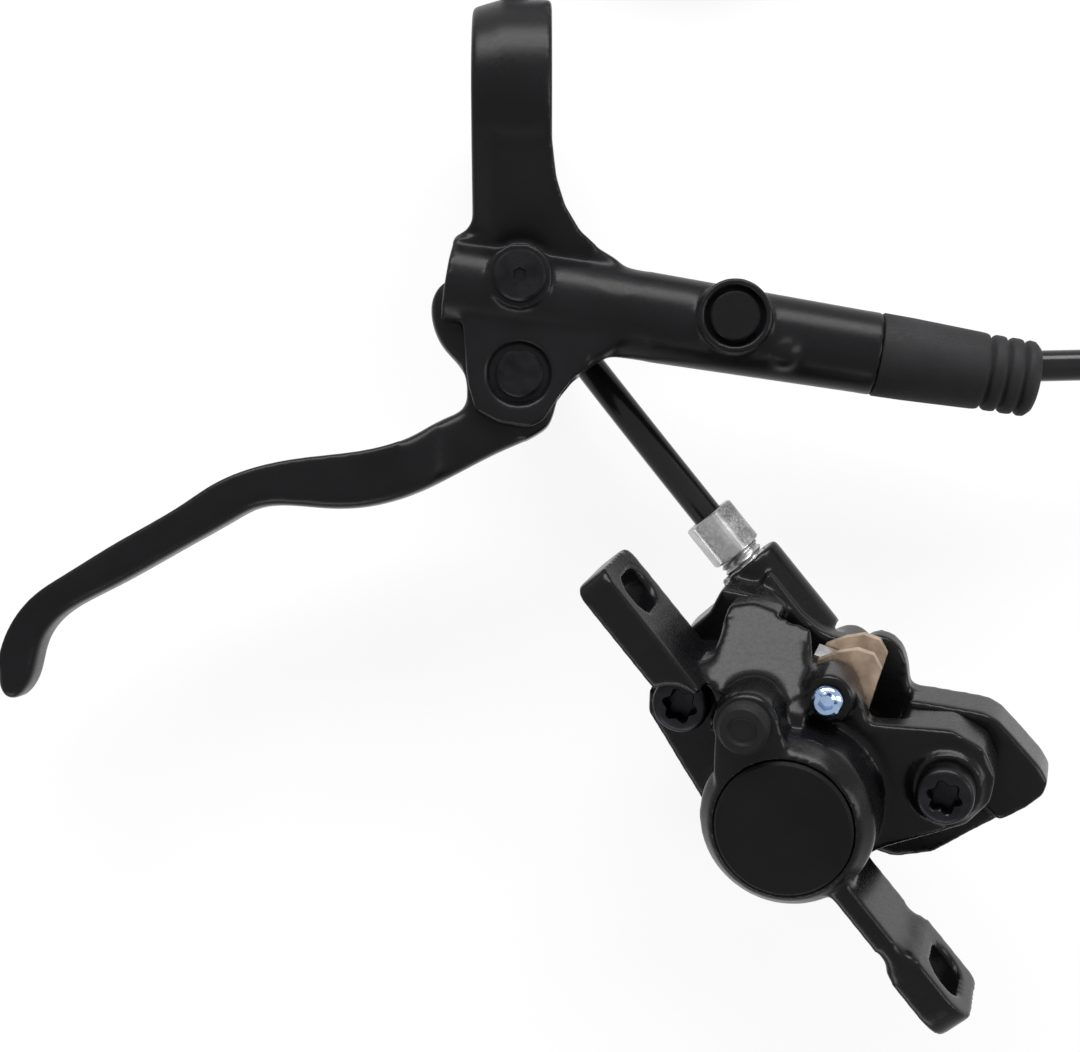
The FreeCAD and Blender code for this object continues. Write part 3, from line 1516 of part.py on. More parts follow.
FLOOR_LEVEL = -20.1
HOSE_LEVEL = -17.6
COIL_CENTRE = (29.5, 58.0)
COIL_RADIUS = 29.5
COIL_WIDTH = 10.0
ROUTE_TO_COIL = [
    from_port(-8.0),
    from_port(25.0),
    (3.0, -29.5, HOSE_LEVEL),
    (0.3, -2.0, HOSE_LEVEL),
    (0.6, 26.0, HOSE_LEVEL),
    (0.0, 50.0, HOSE_LEVEL),
]
ROUTE_TO_LEVER = [
    (36.0, 87.4, HOSE_LEVEL),
    (68.0, 86.2, HOSE_LEVEL),
    (104.0, 71.0, HOSE_LEVEL),
    (133.0, 38.0, HOSE_LEVEL),
    (142.0, -6.0, HOSE_LEVEL),
    on_barrel(123.5, 0, 0),
    on_barrel(62.5, 0, 0),
]


def bent_path(points):
    """Straight runs joined by tangent arcs, each as large as its two runs allow."""
    places = [Vector(*(float(part) for part in point)) for point in points]
    edges, last, radii = [], places[0], []
    for before, here, after in zip(places, places[1:], places[2:]):
        back, on = before - here, after - here
        half_turn = (math.pi - back.getAngle(on)) / 2
        reach = 0.45 * min(back.Length, on.Length)
        radii.append(reach / math.tan(half_turn))
        back.normalize()
        on.normalize()
        first, final = here + back * reach, here + on * reach
        middle_way = (back + on).normalize()
        to_centre = radii[-1] / math.cos(half_turn)
        middle = here + middle_way * (to_centre - radii[-1])
        edges.append(Part.LineSegment(last, first).toShape())
        edges.append(Part.Arc(first, middle, final).toShape())
        last = final
    edges.append(Part.LineSegment(last, places[-1]).toShape())
    return Part.Wire(edges), radii


def hose(label, points):
    """A tube along a route; its volume must match its section times its length."""
    path, radii = bent_path(points)
    radius = float(S.hose_radius)
    start, heading = path.Edges[0].valueAt(path.Edges[0].FirstParameter), path.Edges[0].tangentAt(0)
    profile = Part.Wire([Part.makeCircle(radius, start, heading)])
    tube = path.makePipeShell([profile], True, False)
    expected = math.pi * radius**2 * path.Length
    print(label, "length", round(path.Length, 1), "volume share", round(tube.Volume / expected, 4))
    print(label, "bend radii", [round(r, 1) for r in radii])
    feature = doc.addObject("Part::Feature", label)
    feature.Shape = tube
    return keep(label, feature)


hose("hose_from_caliper", ROUTE_TO_COIL)
hose("hose_to_lever", ROUTE_TO_LEVER)
turned(
    "hose_coil",
    [
        (COIL_RADIUS - COIL_WIDTH / 2, 1.5),
        (COIL_RADIUS - COIL_WIDTH / 2 + 1.5, 0),
        (COIL_RADIUS + COIL_WIDTH / 2 - 1.5, 0),
        (COIL_RADIUS + COIL_WIDTH / 2, 1.5),
        (COIL_RADIUS + COIL_WIDTH / 2, COIL_WIDTH - 1.5),
        (COIL_RADIUS + COIL_WIDTH / 2 - 1.5, COIL_WIDTH),
        (COIL_RADIUS - COIL_WIDTH / 2 + 1.5, COIL_WIDTH),
        (COIL_RADIUS - COIL_WIDTH / 2, COIL_WIDTH - 1.5),
    ],
    ROW_FRAME,
    (*COIL_CENTRE, FLOOR_LEVEL),
)


def check_and_export():
    """Stops at any object that failed, then writes each sub-part to its own file."""
    doc.recompute()
    for obj in doc.Objects:
        if "Invalid" in obj.State or "Error" in obj.State:
            raise RuntimeError("{} failed: {}".format(obj.Label, obj.State))
    for obj in nodes:
        if obj.Shape.isNull() or not obj.Shape.isValid():
            raise RuntimeError("{} has no valid shape".format(obj.Label))
    os.makedirs("parts", exist_ok=True)
    for obj in nodes:
        obj.Shape.exportStep("parts/{}.step".format(obj.Label))
        box = obj.Shape.BoundBox
        print(
            "{:22s} solids {} volume {:9.1f} z {:7.2f} {:7.2f}".format(
                obj.Label, len(obj.Shape.Solids), obj.Shape.Volume, box.ZMin, box.ZMax
            )
        )


check_and_export()
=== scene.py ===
"""Dresses a bicycle's hydraulic disc brake: castings, fasteners, hose, finishes and the studio round it."""

import bpy
import bmesh
import json
import math
from mathutils import Matrix, Vector


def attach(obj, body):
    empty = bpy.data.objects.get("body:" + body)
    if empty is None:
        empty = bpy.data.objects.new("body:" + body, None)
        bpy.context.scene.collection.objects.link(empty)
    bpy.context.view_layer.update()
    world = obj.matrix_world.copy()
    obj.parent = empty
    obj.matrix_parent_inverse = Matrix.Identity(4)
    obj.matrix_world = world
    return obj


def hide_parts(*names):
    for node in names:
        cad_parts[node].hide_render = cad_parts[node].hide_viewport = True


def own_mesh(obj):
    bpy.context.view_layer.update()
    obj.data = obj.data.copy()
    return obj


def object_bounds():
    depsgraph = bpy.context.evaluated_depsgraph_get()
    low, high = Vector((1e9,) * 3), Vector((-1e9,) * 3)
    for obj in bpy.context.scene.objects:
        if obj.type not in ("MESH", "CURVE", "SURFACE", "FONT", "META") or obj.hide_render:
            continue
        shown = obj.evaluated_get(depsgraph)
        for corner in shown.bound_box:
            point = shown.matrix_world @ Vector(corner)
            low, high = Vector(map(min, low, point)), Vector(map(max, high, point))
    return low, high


bl_info = {
    "name": "Hydraulic Disc Brake",
    "version": (1, 0, 0),
    "blender": (4, 5, 0),
    "location": "3D View > Sidebar > Disc Brake",
    "description": "Builds the castings, fasteners, hose and finishes of a bicycle's hydraulic disc brake",
    "category": "Object",
}

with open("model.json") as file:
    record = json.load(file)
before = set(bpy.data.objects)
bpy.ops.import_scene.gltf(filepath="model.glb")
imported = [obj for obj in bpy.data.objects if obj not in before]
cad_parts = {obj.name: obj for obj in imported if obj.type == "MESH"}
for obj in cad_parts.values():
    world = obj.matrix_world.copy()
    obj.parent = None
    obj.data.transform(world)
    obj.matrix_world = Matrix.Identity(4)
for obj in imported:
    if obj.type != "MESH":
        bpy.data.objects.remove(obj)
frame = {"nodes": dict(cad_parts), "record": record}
CAD_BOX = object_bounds()

MM = 0.001
TO_METRES = Matrix.Scale(MM, 4)


def placed(x, y, z):
    return Matrix.Translation((x * MM, y * MM, z * MM))


def turned_by(degrees, axis):
    return Matrix.Rotation(math.radians(degrees), 4, axis)


# Places are in millimetres from the middle of the handlebar's clamp.
# The cylinder's frame has X along the cylinder from its open end and Y away from the blade.
# The ears' frame has X along the line of the mounting slots, and the caliper's Z is the rotor's axis.
CYLINDER = placed(-10.5, -30.3, 0) @ turned_by(-9.26, "Z")
EARS = placed(43.0, -107.5, 16.41) @ turned_by(-51.15, "Z") @ turned_by(19.0, "X")
CALIPER = EARS @ placed(3.3, -2.7, -14.0) @ turned_by(34.0, "Z")
HOSE_PORT = EARS @ placed(-28.6, 8.1, -27.0) @ turned_by(-90, "Y")
PIVOT = placed(1.1, -45.0, 0)
ALONG_CYLINDER = CYLINDER @ turned_by(90, "Y")
BLEED_SCREW = CYLINDER @ placed(11.5, 2.3, 0)
PLUG = CYLINDER @ placed(45.8, 1.6, 0)
SPRING_END = CYLINDER @ placed(57.0, 0, -0.8)
BODY_BOLT_SIDE, BODY_BOLT_UP, BODY_BOLT_SEAT = 20.8, 10.1, 12.22
PAD_PIN = CALIPER @ placed(0, 18.2, 0)


class CastingSizes(bpy.types.PropertyGroup):
    detail: bpy.props.FloatProperty(
        name="Detail",
        description="Size of the smallest form that a casting keeps",
        default=0.00038,
        min=0.0003,
        max=0.001,
        unit="LENGTH",
    )
    rounding: bpy.props.IntProperty(
        name="Rounding",
        description="How often a casting's surface is evened out, which rounds its edges",
        default=11,
        min=1,
        max=60,
    )
    blade_rounding: bpy.props.IntProperty(
        name="Blade rounding",
        description="How often the blade's finger side is evened out",
        default=60,
        min=1,
        max=200,
    )


class FastenerSizes(bpy.types.PropertyGroup):
    star_radius: bpy.props.FloatProperty(
        name="Star radius",
        description="Radius of the body bolts' star sockets over their points",
        default=0.0026,
        unit="LENGTH",
    )
    star_depth: bpy.props.FloatProperty(
        name="Star depth",
        description="Depth of the star sockets",
        default=0.0026,
        unit="LENGTH",
    )
    thread_pitch: bpy.props.FloatProperty(
        name="Thread pitch",
        description="Distance between two crests of the hose nut's thread",
        default=0.001,
        unit="LENGTH",
    )


class HoseSizes(bpy.types.PropertyGroup):
    diameter: bpy.props.FloatProperty(
        name="Diameter",
        description="Outer diameter of the hose",
        default=0.005,
        unit="LENGTH",
    )
    length: bpy.props.FloatProperty(
        name="Length",
        description="Real length of the hose, with what is put away in the coil",
        default=1.0,
        unit="LENGTH",
    )
    outer_turn: bpy.props.FloatProperty(
        name="Outer turn",
        description="Radius of the put-away coil's outer turns",
        default=0.032,
        unit="LENGTH",
    )
    inner_turn: bpy.props.FloatProperty(
        name="Inner turn",
        description="Radius of the put-away coil's inner turns",
        default=0.027,
        unit="LENGTH",
    )


class Colours(bpy.types.PropertyGroup):
    lever: bpy.props.FloatVectorProperty(
        name="Lever paint",
        description="Colour of the lever body and blade",
        default=(0.0045, 0.0045, 0.0052),
        subtype="COLOR",
    )
    caliper: bpy.props.FloatVectorProperty(
        name="Caliper paint",
        description="Colour of the caliper's halves",
        default=(0.0032, 0.0032, 0.0037),
        subtype="COLOR",
    )
    cover: bpy.props.FloatVectorProperty(
        name="Cover paint",
        description="Colour of the round cover",
        default=(0.0035, 0.0035, 0.0038),
        subtype="COLOR",
    )
    rubber: bpy.props.FloatVectorProperty(
        name="Rubber",
        description="Colour of the boot",
        default=(0.0125, 0.0125, 0.0135),
        subtype="COLOR",
    )
    zinc: bpy.props.FloatVectorProperty(
        name="Zinc",
        description="Colour of the plated nuts and clips",
        default=(0.45, 0.45, 0.45),
        subtype="COLOR",
    )
    bronze: bpy.props.FloatVectorProperty(
        name="Pad plates",
        description="Colour of the pads' back plates",
        default=(0.42, 0.32, 0.24),
        subtype="COLOR",
    )
    hose: bpy.props.FloatVectorProperty(
        name="Hose",
        description="Colour of the hose's skin",
        default=(0.006, 0.006, 0.007),
        subtype="COLOR",
    )


class Studio(bpy.types.PropertyGroup):
    height: bpy.props.FloatProperty(
        name="Camera height",
        description="Height of the camera over the bar's axis",
        default=0.340,
        unit="LENGTH",
    )
    lens: bpy.props.FloatProperty(
        name="Lens",
        description="Focal length in millimetres",
        default=70.83,
        unit="CAMERA",
    )
    key: bpy.props.FloatProperty(
        name="Key light",
        description="Power of the large light beyond the lever",
        default=10.0,
        unit="POWER",
    )
    fill: bpy.props.FloatProperty(
        name="Fill light",
        description="Power of the light on the near side",
        default=2.4,
        unit="POWER",
    )


def new_finish(name):
    """An empty finish: its material, node tree and shader."""
    material = bpy.data.materials.new(name)
    material.use_nodes = True
    tree = material.node_tree
    return material, tree, tree.nodes["Principled BSDF"]


def add(tree, kind, inputs=None, **settings):
    """Adds a node, with sockets that are linked or set by name."""
    node = tree.nodes.new(kind)
    for name, value in settings.items():
        setattr(node, name, value)
    for name, value in (inputs or {}).items():
        if isinstance(value, bpy.types.NodeSocket):
            tree.links.new(value, node.inputs[name])
        else:
            node.inputs[name].default_value = value
    return node


def grain(tree, scale, detail=3.0, stretch=(1, 1, 1), turn=(0, 0, 0)):
    """A noise of that many forms to the metre, on the piece's own place."""
    place = add(tree, "ShaderNodeTexCoord")
    mapping = add(
        tree,
        "ShaderNodeMapping",
        {"Vector": place.outputs["Object"], "Scale": stretch, "Rotation": turn},
    )
    noise = add(
        tree,
        "ShaderNodeTexNoise",
        {"Vector": mapping.outputs["Vector"], "Scale": scale, "Detail": detail},
    )
    return noise.outputs["Fac"]


def shades(tree, share, dark, light, low=0.35, high=0.65):
    """Colours from dark to light as the share goes from low to high."""
    ramp = add(tree, "ShaderNodeValToRGB", {"Fac": share})
    first, last = ramp.color_ramp.elements
    first.position, last.position = low, high
    first.color, last.color = (*dark, 1), (*light, 1)
    return ramp.outputs["Color"]


def spread(tree, share, low, high):
    """A number from low to high with the share."""
    return add(
        tree,
        "ShaderNodeMapRange",
        {"Value": share, "From Min": 0.3, "From Max": 0.7, "To Min": low, "To Max": high},
    ).outputs["Result"]


def relief(tree, shader, height, strength, depth):
    """A fine skin in the shader's normals."""
    bump = add(tree, "ShaderNodeBump", {"Height": height, "Strength": strength, "Distance": depth})
    tree.links.new(bump.outputs["Normal"], shader.inputs["Normal"])


def tinted(colour, share):
    """A colour made darker or lighter."""
    return tuple(min(1.0, part * share) for part in colour)


def cloud_colour(tree, shader, share, colour, dark, light):
    """Slow changes of shade round a colour."""
    colours = shades(tree, share, tinted(colour, dark), tinted(colour, light))
    tree.links.new(colours, shader.inputs["Base Color"])


def cast_paint(name, colour, smooth, rough, gloss):
    """Satin paint over a casting: slow changes of shade and gloss, and a fine skin."""
    material, tree, shader = new_finish(name)
    cloud = grain(tree, 90.0)
    skin = grain(tree, 1800.0, 2.0)
    cloud_colour(tree, shader, cloud, colour, 0.8, 1.25)
    tree.links.new(spread(tree, skin, smooth, rough), shader.inputs["Roughness"])
    shader.inputs["Specular IOR Level"].default_value = gloss
    relief(tree, shader, skin, 0.25, 0.00002)
    return material


def dull_rubber(name, colour):
    """Moulded rubber with a faint bloom and a fine matt skin."""
    material, tree, shader = new_finish(name)
    cloud = grain(tree, 160.0, 4.0)
    skin = grain(tree, 3000.0, 2.0)
    cloud_colour(tree, shader, cloud, colour, 0.85, 1.2)
    tree.links.new(spread(tree, skin, 0.55, 0.72), shader.inputs["Roughness"])
    shader.inputs["Specular IOR Level"].default_value = 0.12
    relief(tree, shader, skin, 0.35, 0.00003)
    return material


def plated_steel(name, colour, smooth, rough, stretch=(1, 1, 1), drawn=0.2):
    """Bright plating with a fine drawn grain."""
    material, tree, shader = new_finish(name)
    cloud = grain(tree, 350.0, 4.0)
    lines = grain(tree, 2500.0, 3.0, stretch)
    cloud_colour(tree, shader, cloud, colour, 0.72, 1.15)
    tree.links.new(spread(tree, lines, smooth, rough), shader.inputs["Roughness"])
    shader.inputs["Metallic"].default_value = 1.0
    if drawn:
        relief(tree, shader, lines, drawn, 0.00002)
    return material


def hard_plastic(name, colour, smooth, rough, gloss=0.5):
    """Moulded plastic with slight flow marks."""
    material, tree, shader = new_finish(name)
    flow = grain(tree, 220.0, 3.0, (1, 1, 3))
    skin = grain(tree, 2600.0, 2.0)
    cloud_colour(tree, shader, flow, colour, 0.88, 1.1)
    tree.links.new(spread(tree, skin, smooth, rough), shader.inputs["Roughness"])
    shader.inputs["Specular IOR Level"].default_value = gloss
    relief(tree, shader, skin, 0.15, 0.00002)
    return material


def friction_block(name):
    """Pressed lining: dark binder with bright metal chips."""
    material, tree, shader = new_finish(name)
    place = add(tree, "ShaderNodeTexCoord")
    chips = add(tree, "ShaderNodeTexVoronoi", {"Vector": place.outputs["Object"], "Scale": 1400.0})
    colour = shades(tree, chips.outputs["Distance"], (0.34, 0.25, 0.17), (0.035, 0.03, 0.028), 0.12, 0.3)
    tree.links.new(colour, shader.inputs["Base Color"])
    tree.links.new(spread(tree, grain(tree, 1500.0), 0.7, 0.95), shader.inputs["Roughness"])
    relief(tree, shader, chips.outputs["Distance"], 0.5, 0.0001)
    return material


def make_finishes(colours):
    """Every finish of the brake, by the record's slot."""
    return {
        "lever_paint": cast_paint("lever_paint_satin", colours.lever, 0.28, 0.36, 0.11),
        "blade_paint": cast_paint("blade_paint_satin", tinted(colours.lever, 0.85), 0.26, 0.34, 0.11),
        "caliper_paint": cast_paint("caliper_paint_satin", colours.caliper, 0.20, 0.30, 0.13),
        "cover_paint": cast_paint("cover_paint_matt", colours.cover, 0.5, 0.62, 0.07),
        "black_steel": plated_steel("black_oxide_steel", (0.014, 0.014, 0.016), 0.32, 0.44),
        "black_plastic": hard_plastic("plug_plastic", (0.004, 0.004, 0.0045), 0.34, 0.45, 0.1),
        "white_plastic": hard_plastic("bearing_plastic", (0.72, 0.71, 0.66), 0.35, 0.5),
        "seal_rubber": dull_rubber("seal_rubber_black", tinted(colours.rubber, 0.5)),
        "boot_rubber": dull_rubber("boot_rubber_grey", colours.rubber),
        "zinc_steel": plated_steel("zinc_plated_steel", colours.zinc, 0.28, 0.42),
        "blue_chrome": plated_steel("blue_chrome_steel", (0.32, 0.43, 0.62), 0.10, 0.16, drawn=0),
        "olive_brass": plated_steel("turned_brass", (0.65, 0.46, 0.2), 0.25, 0.4),
        "ceramic": hard_plastic("glazed_piston", (0.6, 0.57, 0.5), 0.25, 0.4),
        "bronze_plate": plated_steel("bronzed_plate", colours.bronze, 0.42, 0.56, (1, 1, 0.2), 0.05),
        "lining": friction_block("pressed_lining"),
        "hose_plastic": hard_plastic("hose_skin", colours.hose, 0.14, 0.22, 0.2),
    }


SLOT_OF = {part["node"]: part["material_slot"] for part in frame["record"]["subparts"]}
finishes = {}


def dress(obj, slot):
    """Gives a piece its finish in place of any that it has."""
    obj.data.materials.clear()
    obj.data.materials.append(finishes[slot])


def link_piece(name, data):
    obj = bpy.data.objects.new(name, data)
    bpy.context.scene.collection.objects.link(obj)
    return obj


def shade_by_angle(mesh, degrees):
    """Smooth faces, with creases kept where two faces meet at more than that angle."""
    mesh.shade_smooth()
    mesh.set_sharp_from_angle(angle=math.radians(degrees))


def set_order(bm):
    """Sorts a mesh across an odd slant, because extruded rims come in another order on each run."""
    slant = Vector((1.0, 3.14159, 2.71828))
    bm.verts.sort(key=lambda vertex: vertex.co.dot(slant))
    bm.edges.sort(key=lambda edge: (edge.verts[0].co + edge.verts[1].co).dot(slant))
    bm.faces.sort(key=lambda face: face.calc_center_median().dot(slant))


def finish_piece(bm, name, place, slot, body, *nodes, crease=35.0):
    """Turns a bmesh in millimetres into a placed, finished piece that rides on its body."""
    bmesh.ops.transform(bm, matrix=place @ TO_METRES, verts=bm.verts)
    bmesh.ops.recalc_face_normals(bm, faces=bm.faces)
    set_order(bm)
    mesh = bpy.data.meshes.new(name)
    bm.to_mesh(mesh)
    bm.free()
    shade_by_angle(mesh, crease)
    obj = link_piece(name, mesh)
    dress(obj, slot)
    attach(obj, body)
    if nodes:
        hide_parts(*nodes)
    return obj


def ring_on(bm, edges, place_vertex):
    """Extrudes a rim and moves its new vertices, each by its angle round the axis."""
    grown = bmesh.ops.extrude_edge_only(bm, edges=edges)["geom"]
    for vertex in (item for item in grown if isinstance(item, bmesh.types.BMVert)):
        angle = math.atan2(vertex.co.y, vertex.co.x)
        radius, level = place_vertex(angle)
        vertex.co = Vector((radius * math.cos(angle), radius * math.sin(angle), level))
    return [item for item in grown if isinstance(item, bmesh.types.BMEdge)]


def start_ring(bm, radius_at, level, segments=72, filled=False):
    """Starts an empty bmesh with a closed ring of edges round the axis, or a face, at one level."""
    made = bmesh.ops.create_circle(bm, cap_ends=filled, segments=segments, radius=1.0)
    for vertex in made["verts"]:
        angle = math.atan2(vertex.co.y, vertex.co.x)
        radius = radius_at(angle)
        vertex.co = Vector((radius * math.cos(angle), radius * math.sin(angle), level))
    return list(bm.edges)


def hexagon_reach(angle, half_flats):
    """Distance from a hexagon's middle to its rim in a direction."""
    beside = (angle + math.radians(30)) % math.radians(60) - math.radians(30)
    return half_flats / math.cos(beside)


def close_rim(bm, edges):
    """Closes the last rim with one face."""
    bmesh.ops.contextual_create(bm, geom=edges)


def merged_copy(node):
    """A copy of a solid's mesh with its loose triangles joined."""
    mesh = frame["nodes"][node].data.copy()
    bm = bmesh.new()
    bm.from_mesh(mesh)
    bmesh.ops.remove_doubles(bm, verts=bm.verts, dist=1e-6)
    bm.to_mesh(mesh)
    bm.free()
    return mesh


def even_out(bm, vertices, rounds):
    """Moves each vertex towards the middle of its neighbours, over and over."""
    for _ in range(rounds):
        bmesh.ops.smooth_vert(
            bm, verts=vertices, factor=0.5, use_axis_x=True, use_axis_y=True, use_axis_z=True
        )


SKIN_ROUNDS = 2
FILLET_ROUNDS = 45


def cast_piece(node, name, body, rounds, extra_rounds=0, extra_here=None, keep_here=None):
    """A casting with rounded edges, grown from its solid. Seats and recesses can be kept crisp."""
    settings = bpy.context.scene.brake_castings
    obj = link_piece(name, merged_copy(node))
    voxels = obj.modifiers.new("Casting skin", "REMESH")
    voxels.mode = "VOXEL"
    voxels.voxel_size = settings.detail
    dense = bpy.data.meshes.new_from_object(obj.evaluated_get(bpy.context.evaluated_depsgraph_get()))
    obj.modifiers.clear()
    obj.data = dense
    dense.name = name
    bm = bmesh.new()
    bm.from_mesh(dense)
    soft = [vertex for vertex in bm.verts if not (keep_here and keep_here(vertex.co))]
    even_out(bm, bm.verts, SKIN_ROUNDS)
    even_out(bm, soft, rounds)
    if extra_here:
        even_out(bm, [vertex for vertex in soft if extra_here(vertex.co)], extra_rounds)
    bm.to_mesh(dense)
    bm.free()
    dense.shade_smooth()
    dress(obj, SLOT_OF[node])
    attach(obj, body)
    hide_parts(node)
    return obj


def near_axis(place, radius, low, high):
    """Says of a point whether it is within a cylinder of a frame, in millimetres."""
    back = place.inverted()

    def inside(point):
        local = back @ point
        across = math.hypot(local.x, local.y) / MM
        return across < radius and low < local.z / MM < high

    return inside


def any_of(tests):
    """Says of a point whether one of the tests holds for it."""
    return lambda point: any(test(point) for test in tests)


CAMERA_OVER = (0.0044, -0.069)
# Each lamp's place, size and aim in metres
LAMPS = {
    "key": ((0.0, 0.50, 0.30), (0.85, 0.30), (0.02, -0.06, 0.0)),
    "fill": ((-0.20, -0.62, 0.20), (0.6, 0.20), (0.0, -0.07, 0.0)),
    "side": ((0.60, -0.05, 0.35), (0.25, 0.5), (0.04, -0.08, 0.0)),
}
FLOOR_REACH = 4.0
FLOOR_GAP = 0.00002
FLOOR_WHITE = 0.86
ROOM_LIGHT = 0.2


class BRAKE_OT_studio(bpy.types.Operator):
    """Set up the camera, the floor and the soft lights"""

    bl_idname = "brake.studio"
    bl_label = "Studio"

    def execute(self, context):
        scene = context.scene
        studio = scene.brake_studio
        camera = bpy.data.cameras.new("camera")
        camera.lens = studio.lens
        camera.sensor_width = 36.0
        camera.clip_start = 0.01
        seen_from = link_piece("camera", camera)
        seen_from.location = (*CAMERA_OVER, studio.height)
        scene.camera = seen_from
        scene.view_settings.view_transform = "Standard"
        self.floor(CAD_BOX[0][2])
        self.room(scene)
        powers = {"key": studio.key, "fill": studio.fill, "side": studio.fill}
        for name, (at, size, aim) in LAMPS.items():
            self.light(name, powers[name], at, size, aim)
        return {"FINISHED"}

    def light(self, name, power, at, size, aim):
        lamp = bpy.data.lights.new(name, "AREA")
        lamp.shape = "RECTANGLE"
        lamp.size, lamp.size_y = size
        lamp.energy = power
        obj = link_piece(name, lamp)
        obj.location = at
        obj.rotation_euler = (Vector(aim) - Vector(at)).to_track_quat("-Z", "Y").to_euler()

    def seen_share(self, tree):
        """A share that is 1 where the floor or the room is seen, also in gloss and through glass."""
        path = add(tree, "ShaderNodeLightPath")
        share = path.outputs["Is Camera Ray"]
        for kind in ("Is Glossy Ray", "Is Transmission Ray"):
            most = add(tree, "ShaderNodeMath", {0: share, 1: path.outputs[kind]}, operation="MAXIMUM")
            share = most.outputs[0]
        return share

    def floor(self, level):
        bm = bmesh.new()
        bmesh.ops.create_grid(bm, x_segments=4, y_segments=4, size=FLOOR_REACH)
        bmesh.ops.translate(bm, vec=(0, 0, level - FLOOR_GAP), verts=bm.verts)
        mesh = bpy.data.meshes.new("studio_floor")
        bm.to_mesh(mesh)
        bm.free()
        obj = link_piece("studio_floor", mesh)
        material, tree, shader = new_finish("floor_white")
        paper = grain(tree, 40.0)
        cloud_colour(tree, shader, paper, (1.0, 1.0, 1.0), 0.86, 0.9)
        shader.inputs["Roughness"].default_value = 0.9
        shader.inputs["Specular IOR Level"].default_value = 0.1
        white = add(tree, "ShaderNodeEmission", {"Color": (1, 1, 1, 1), "Strength": 1.0})
        share = add(tree, "ShaderNodeMath", {0: self.seen_share(tree), 1: FLOOR_WHITE}, operation="MULTIPLY")
        mix = add(
            tree,
            "ShaderNodeMixShader",
            {0: share.outputs[0], 1: shader.outputs["BSDF"], 2: white.outputs["Emission"]},
        )
        tree.links.new(mix.outputs["Shader"], tree.nodes["Material Output"].inputs["Surface"])
        mesh.materials.append(material)

    def room(self, scene):
        world = bpy.data.worlds.new("studio_room")
        scene.world = world
        world.use_nodes = True
        tree = world.node_tree
        dim = tree.nodes["Background"]
        dim.inputs["Color"].default_value = (1, 1, 1, 1)
        dim.inputs["Strength"].default_value = ROOM_LIGHT
        white = add(tree, "ShaderNodeBackground", {"Color": (1, 1, 1, 1), "Strength": 1.0})
        mix = add(
            tree,
            "ShaderNodeMixShader",
            {0: self.seen_share(tree), 1: dim.outputs["Background"], 2: white.outputs["Background"]},
        )
        tree.links.new(mix.outputs["Shader"], tree.nodes["World Output"].inputs["Surface"])


# The hose's points, from the caliper's boss down to the floor, and from the coil up to the boot
FLOOR_RUN = -17.6
ROUTE_TO_COIL = [
    (42.89, -81.14, -6.48),
    (22.19, -55.44, -6.48),
    (3.0, -29.5, FLOOR_RUN),
    (0.3, -2.0, FLOOR_RUN),
    (0.2, 24.0, FLOOR_RUN),
    (-1.8, 42.0, FLOOR_RUN),
]
ROUTE_TO_LEVER = [
    (42.0, 90.4, -12.6),
    (55.0, 88.8, -14.0),
    (70.0, 85.4, FLOOR_RUN),
    (104.0, 71.0, FLOOR_RUN),
    (133.0, 38.0, FLOOR_RUN),
    (142.0, -6.0, FLOOR_RUN),
    (111.39, -50.17, 0.0),
    (51.19, -40.36, 0.0),
]
COIL_CENTRE = Vector((29.5, 58.0, 0))
COIL_POINTS = 16
COIL_STEPS = 52
UPPER_LAYER = -12.6
# Where in degrees of winding the hose goes over to the inner turns, up a layer, and out again
TURNS_IN, TURNS_UP, TURNS_OUT = (285, 345), (630, 690), (1000, 1075)


def eased(value, start, end, first, last):
    """Goes from first to last as the value goes from start to end, and stays there."""
    share = max(0.0, min(1.0, (value - start) / (end - start)))
    return first + (last - first) * share * share * (3 - 2 * share)


def coil_turns(outer, inner):
    """Points of the put-away turns, clockwise from the west: out, in, up and out again."""
    points = []
    for step in range(COIL_STEPS + 1):
        turn = 360.0 * step / COIL_POINTS
        radius = eased(turn, *TURNS_IN, outer, inner) + eased(turn, *TURNS_OUT, 0, outer - inner)
        level = eased(turn, *TURNS_UP, FLOOR_RUN, UPPER_LAYER)
        reach = radius / math.cos(math.pi / COIL_POINTS)
        west_first = math.radians(180 - turn)
        spot = Vector((reach * math.cos(west_first), reach * math.sin(west_first), level))
        points.append(COIL_CENTRE + spot)
    return points


class BRAKE_OT_hose(bpy.types.Operator):
    """Lay the hose from the caliper through its put-away coil to the lever"""

    bl_idname = "brake.hose"
    bl_label = "Hose"

    def execute(self, context):
        sizes = context.scene.brake_hose
        curve = bpy.data.curves.new("hose", "CURVE")
        curve.dimensions = "3D"
        curve.bevel_depth = sizes.diameter / 2
        curve.bevel_resolution = 6
        curve.resolution_u = 10
        curve.use_fill_caps = True
        turns = coil_turns(sizes.outer_turn / MM, sizes.inner_turn / MM)
        points = [Vector(point) for point in ROUTE_TO_COIL + turns + ROUTE_TO_LEVER]
        line = curve.splines.new("NURBS")
        line.points.add(len(points) - 1)
        for control, point in zip(line.points, points):
            control.co = (*(point * MM), 1.0)
        line.order_u = 3
        line.use_endpoint_u = True
        hose = link_piece("hose", curve)
        dress(hose, "hose_plastic")
        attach(hose, "fixed")
        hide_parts("hose_from_caliper", "hose_coil", "hose_to_lever")
        return {"FINISHED"}


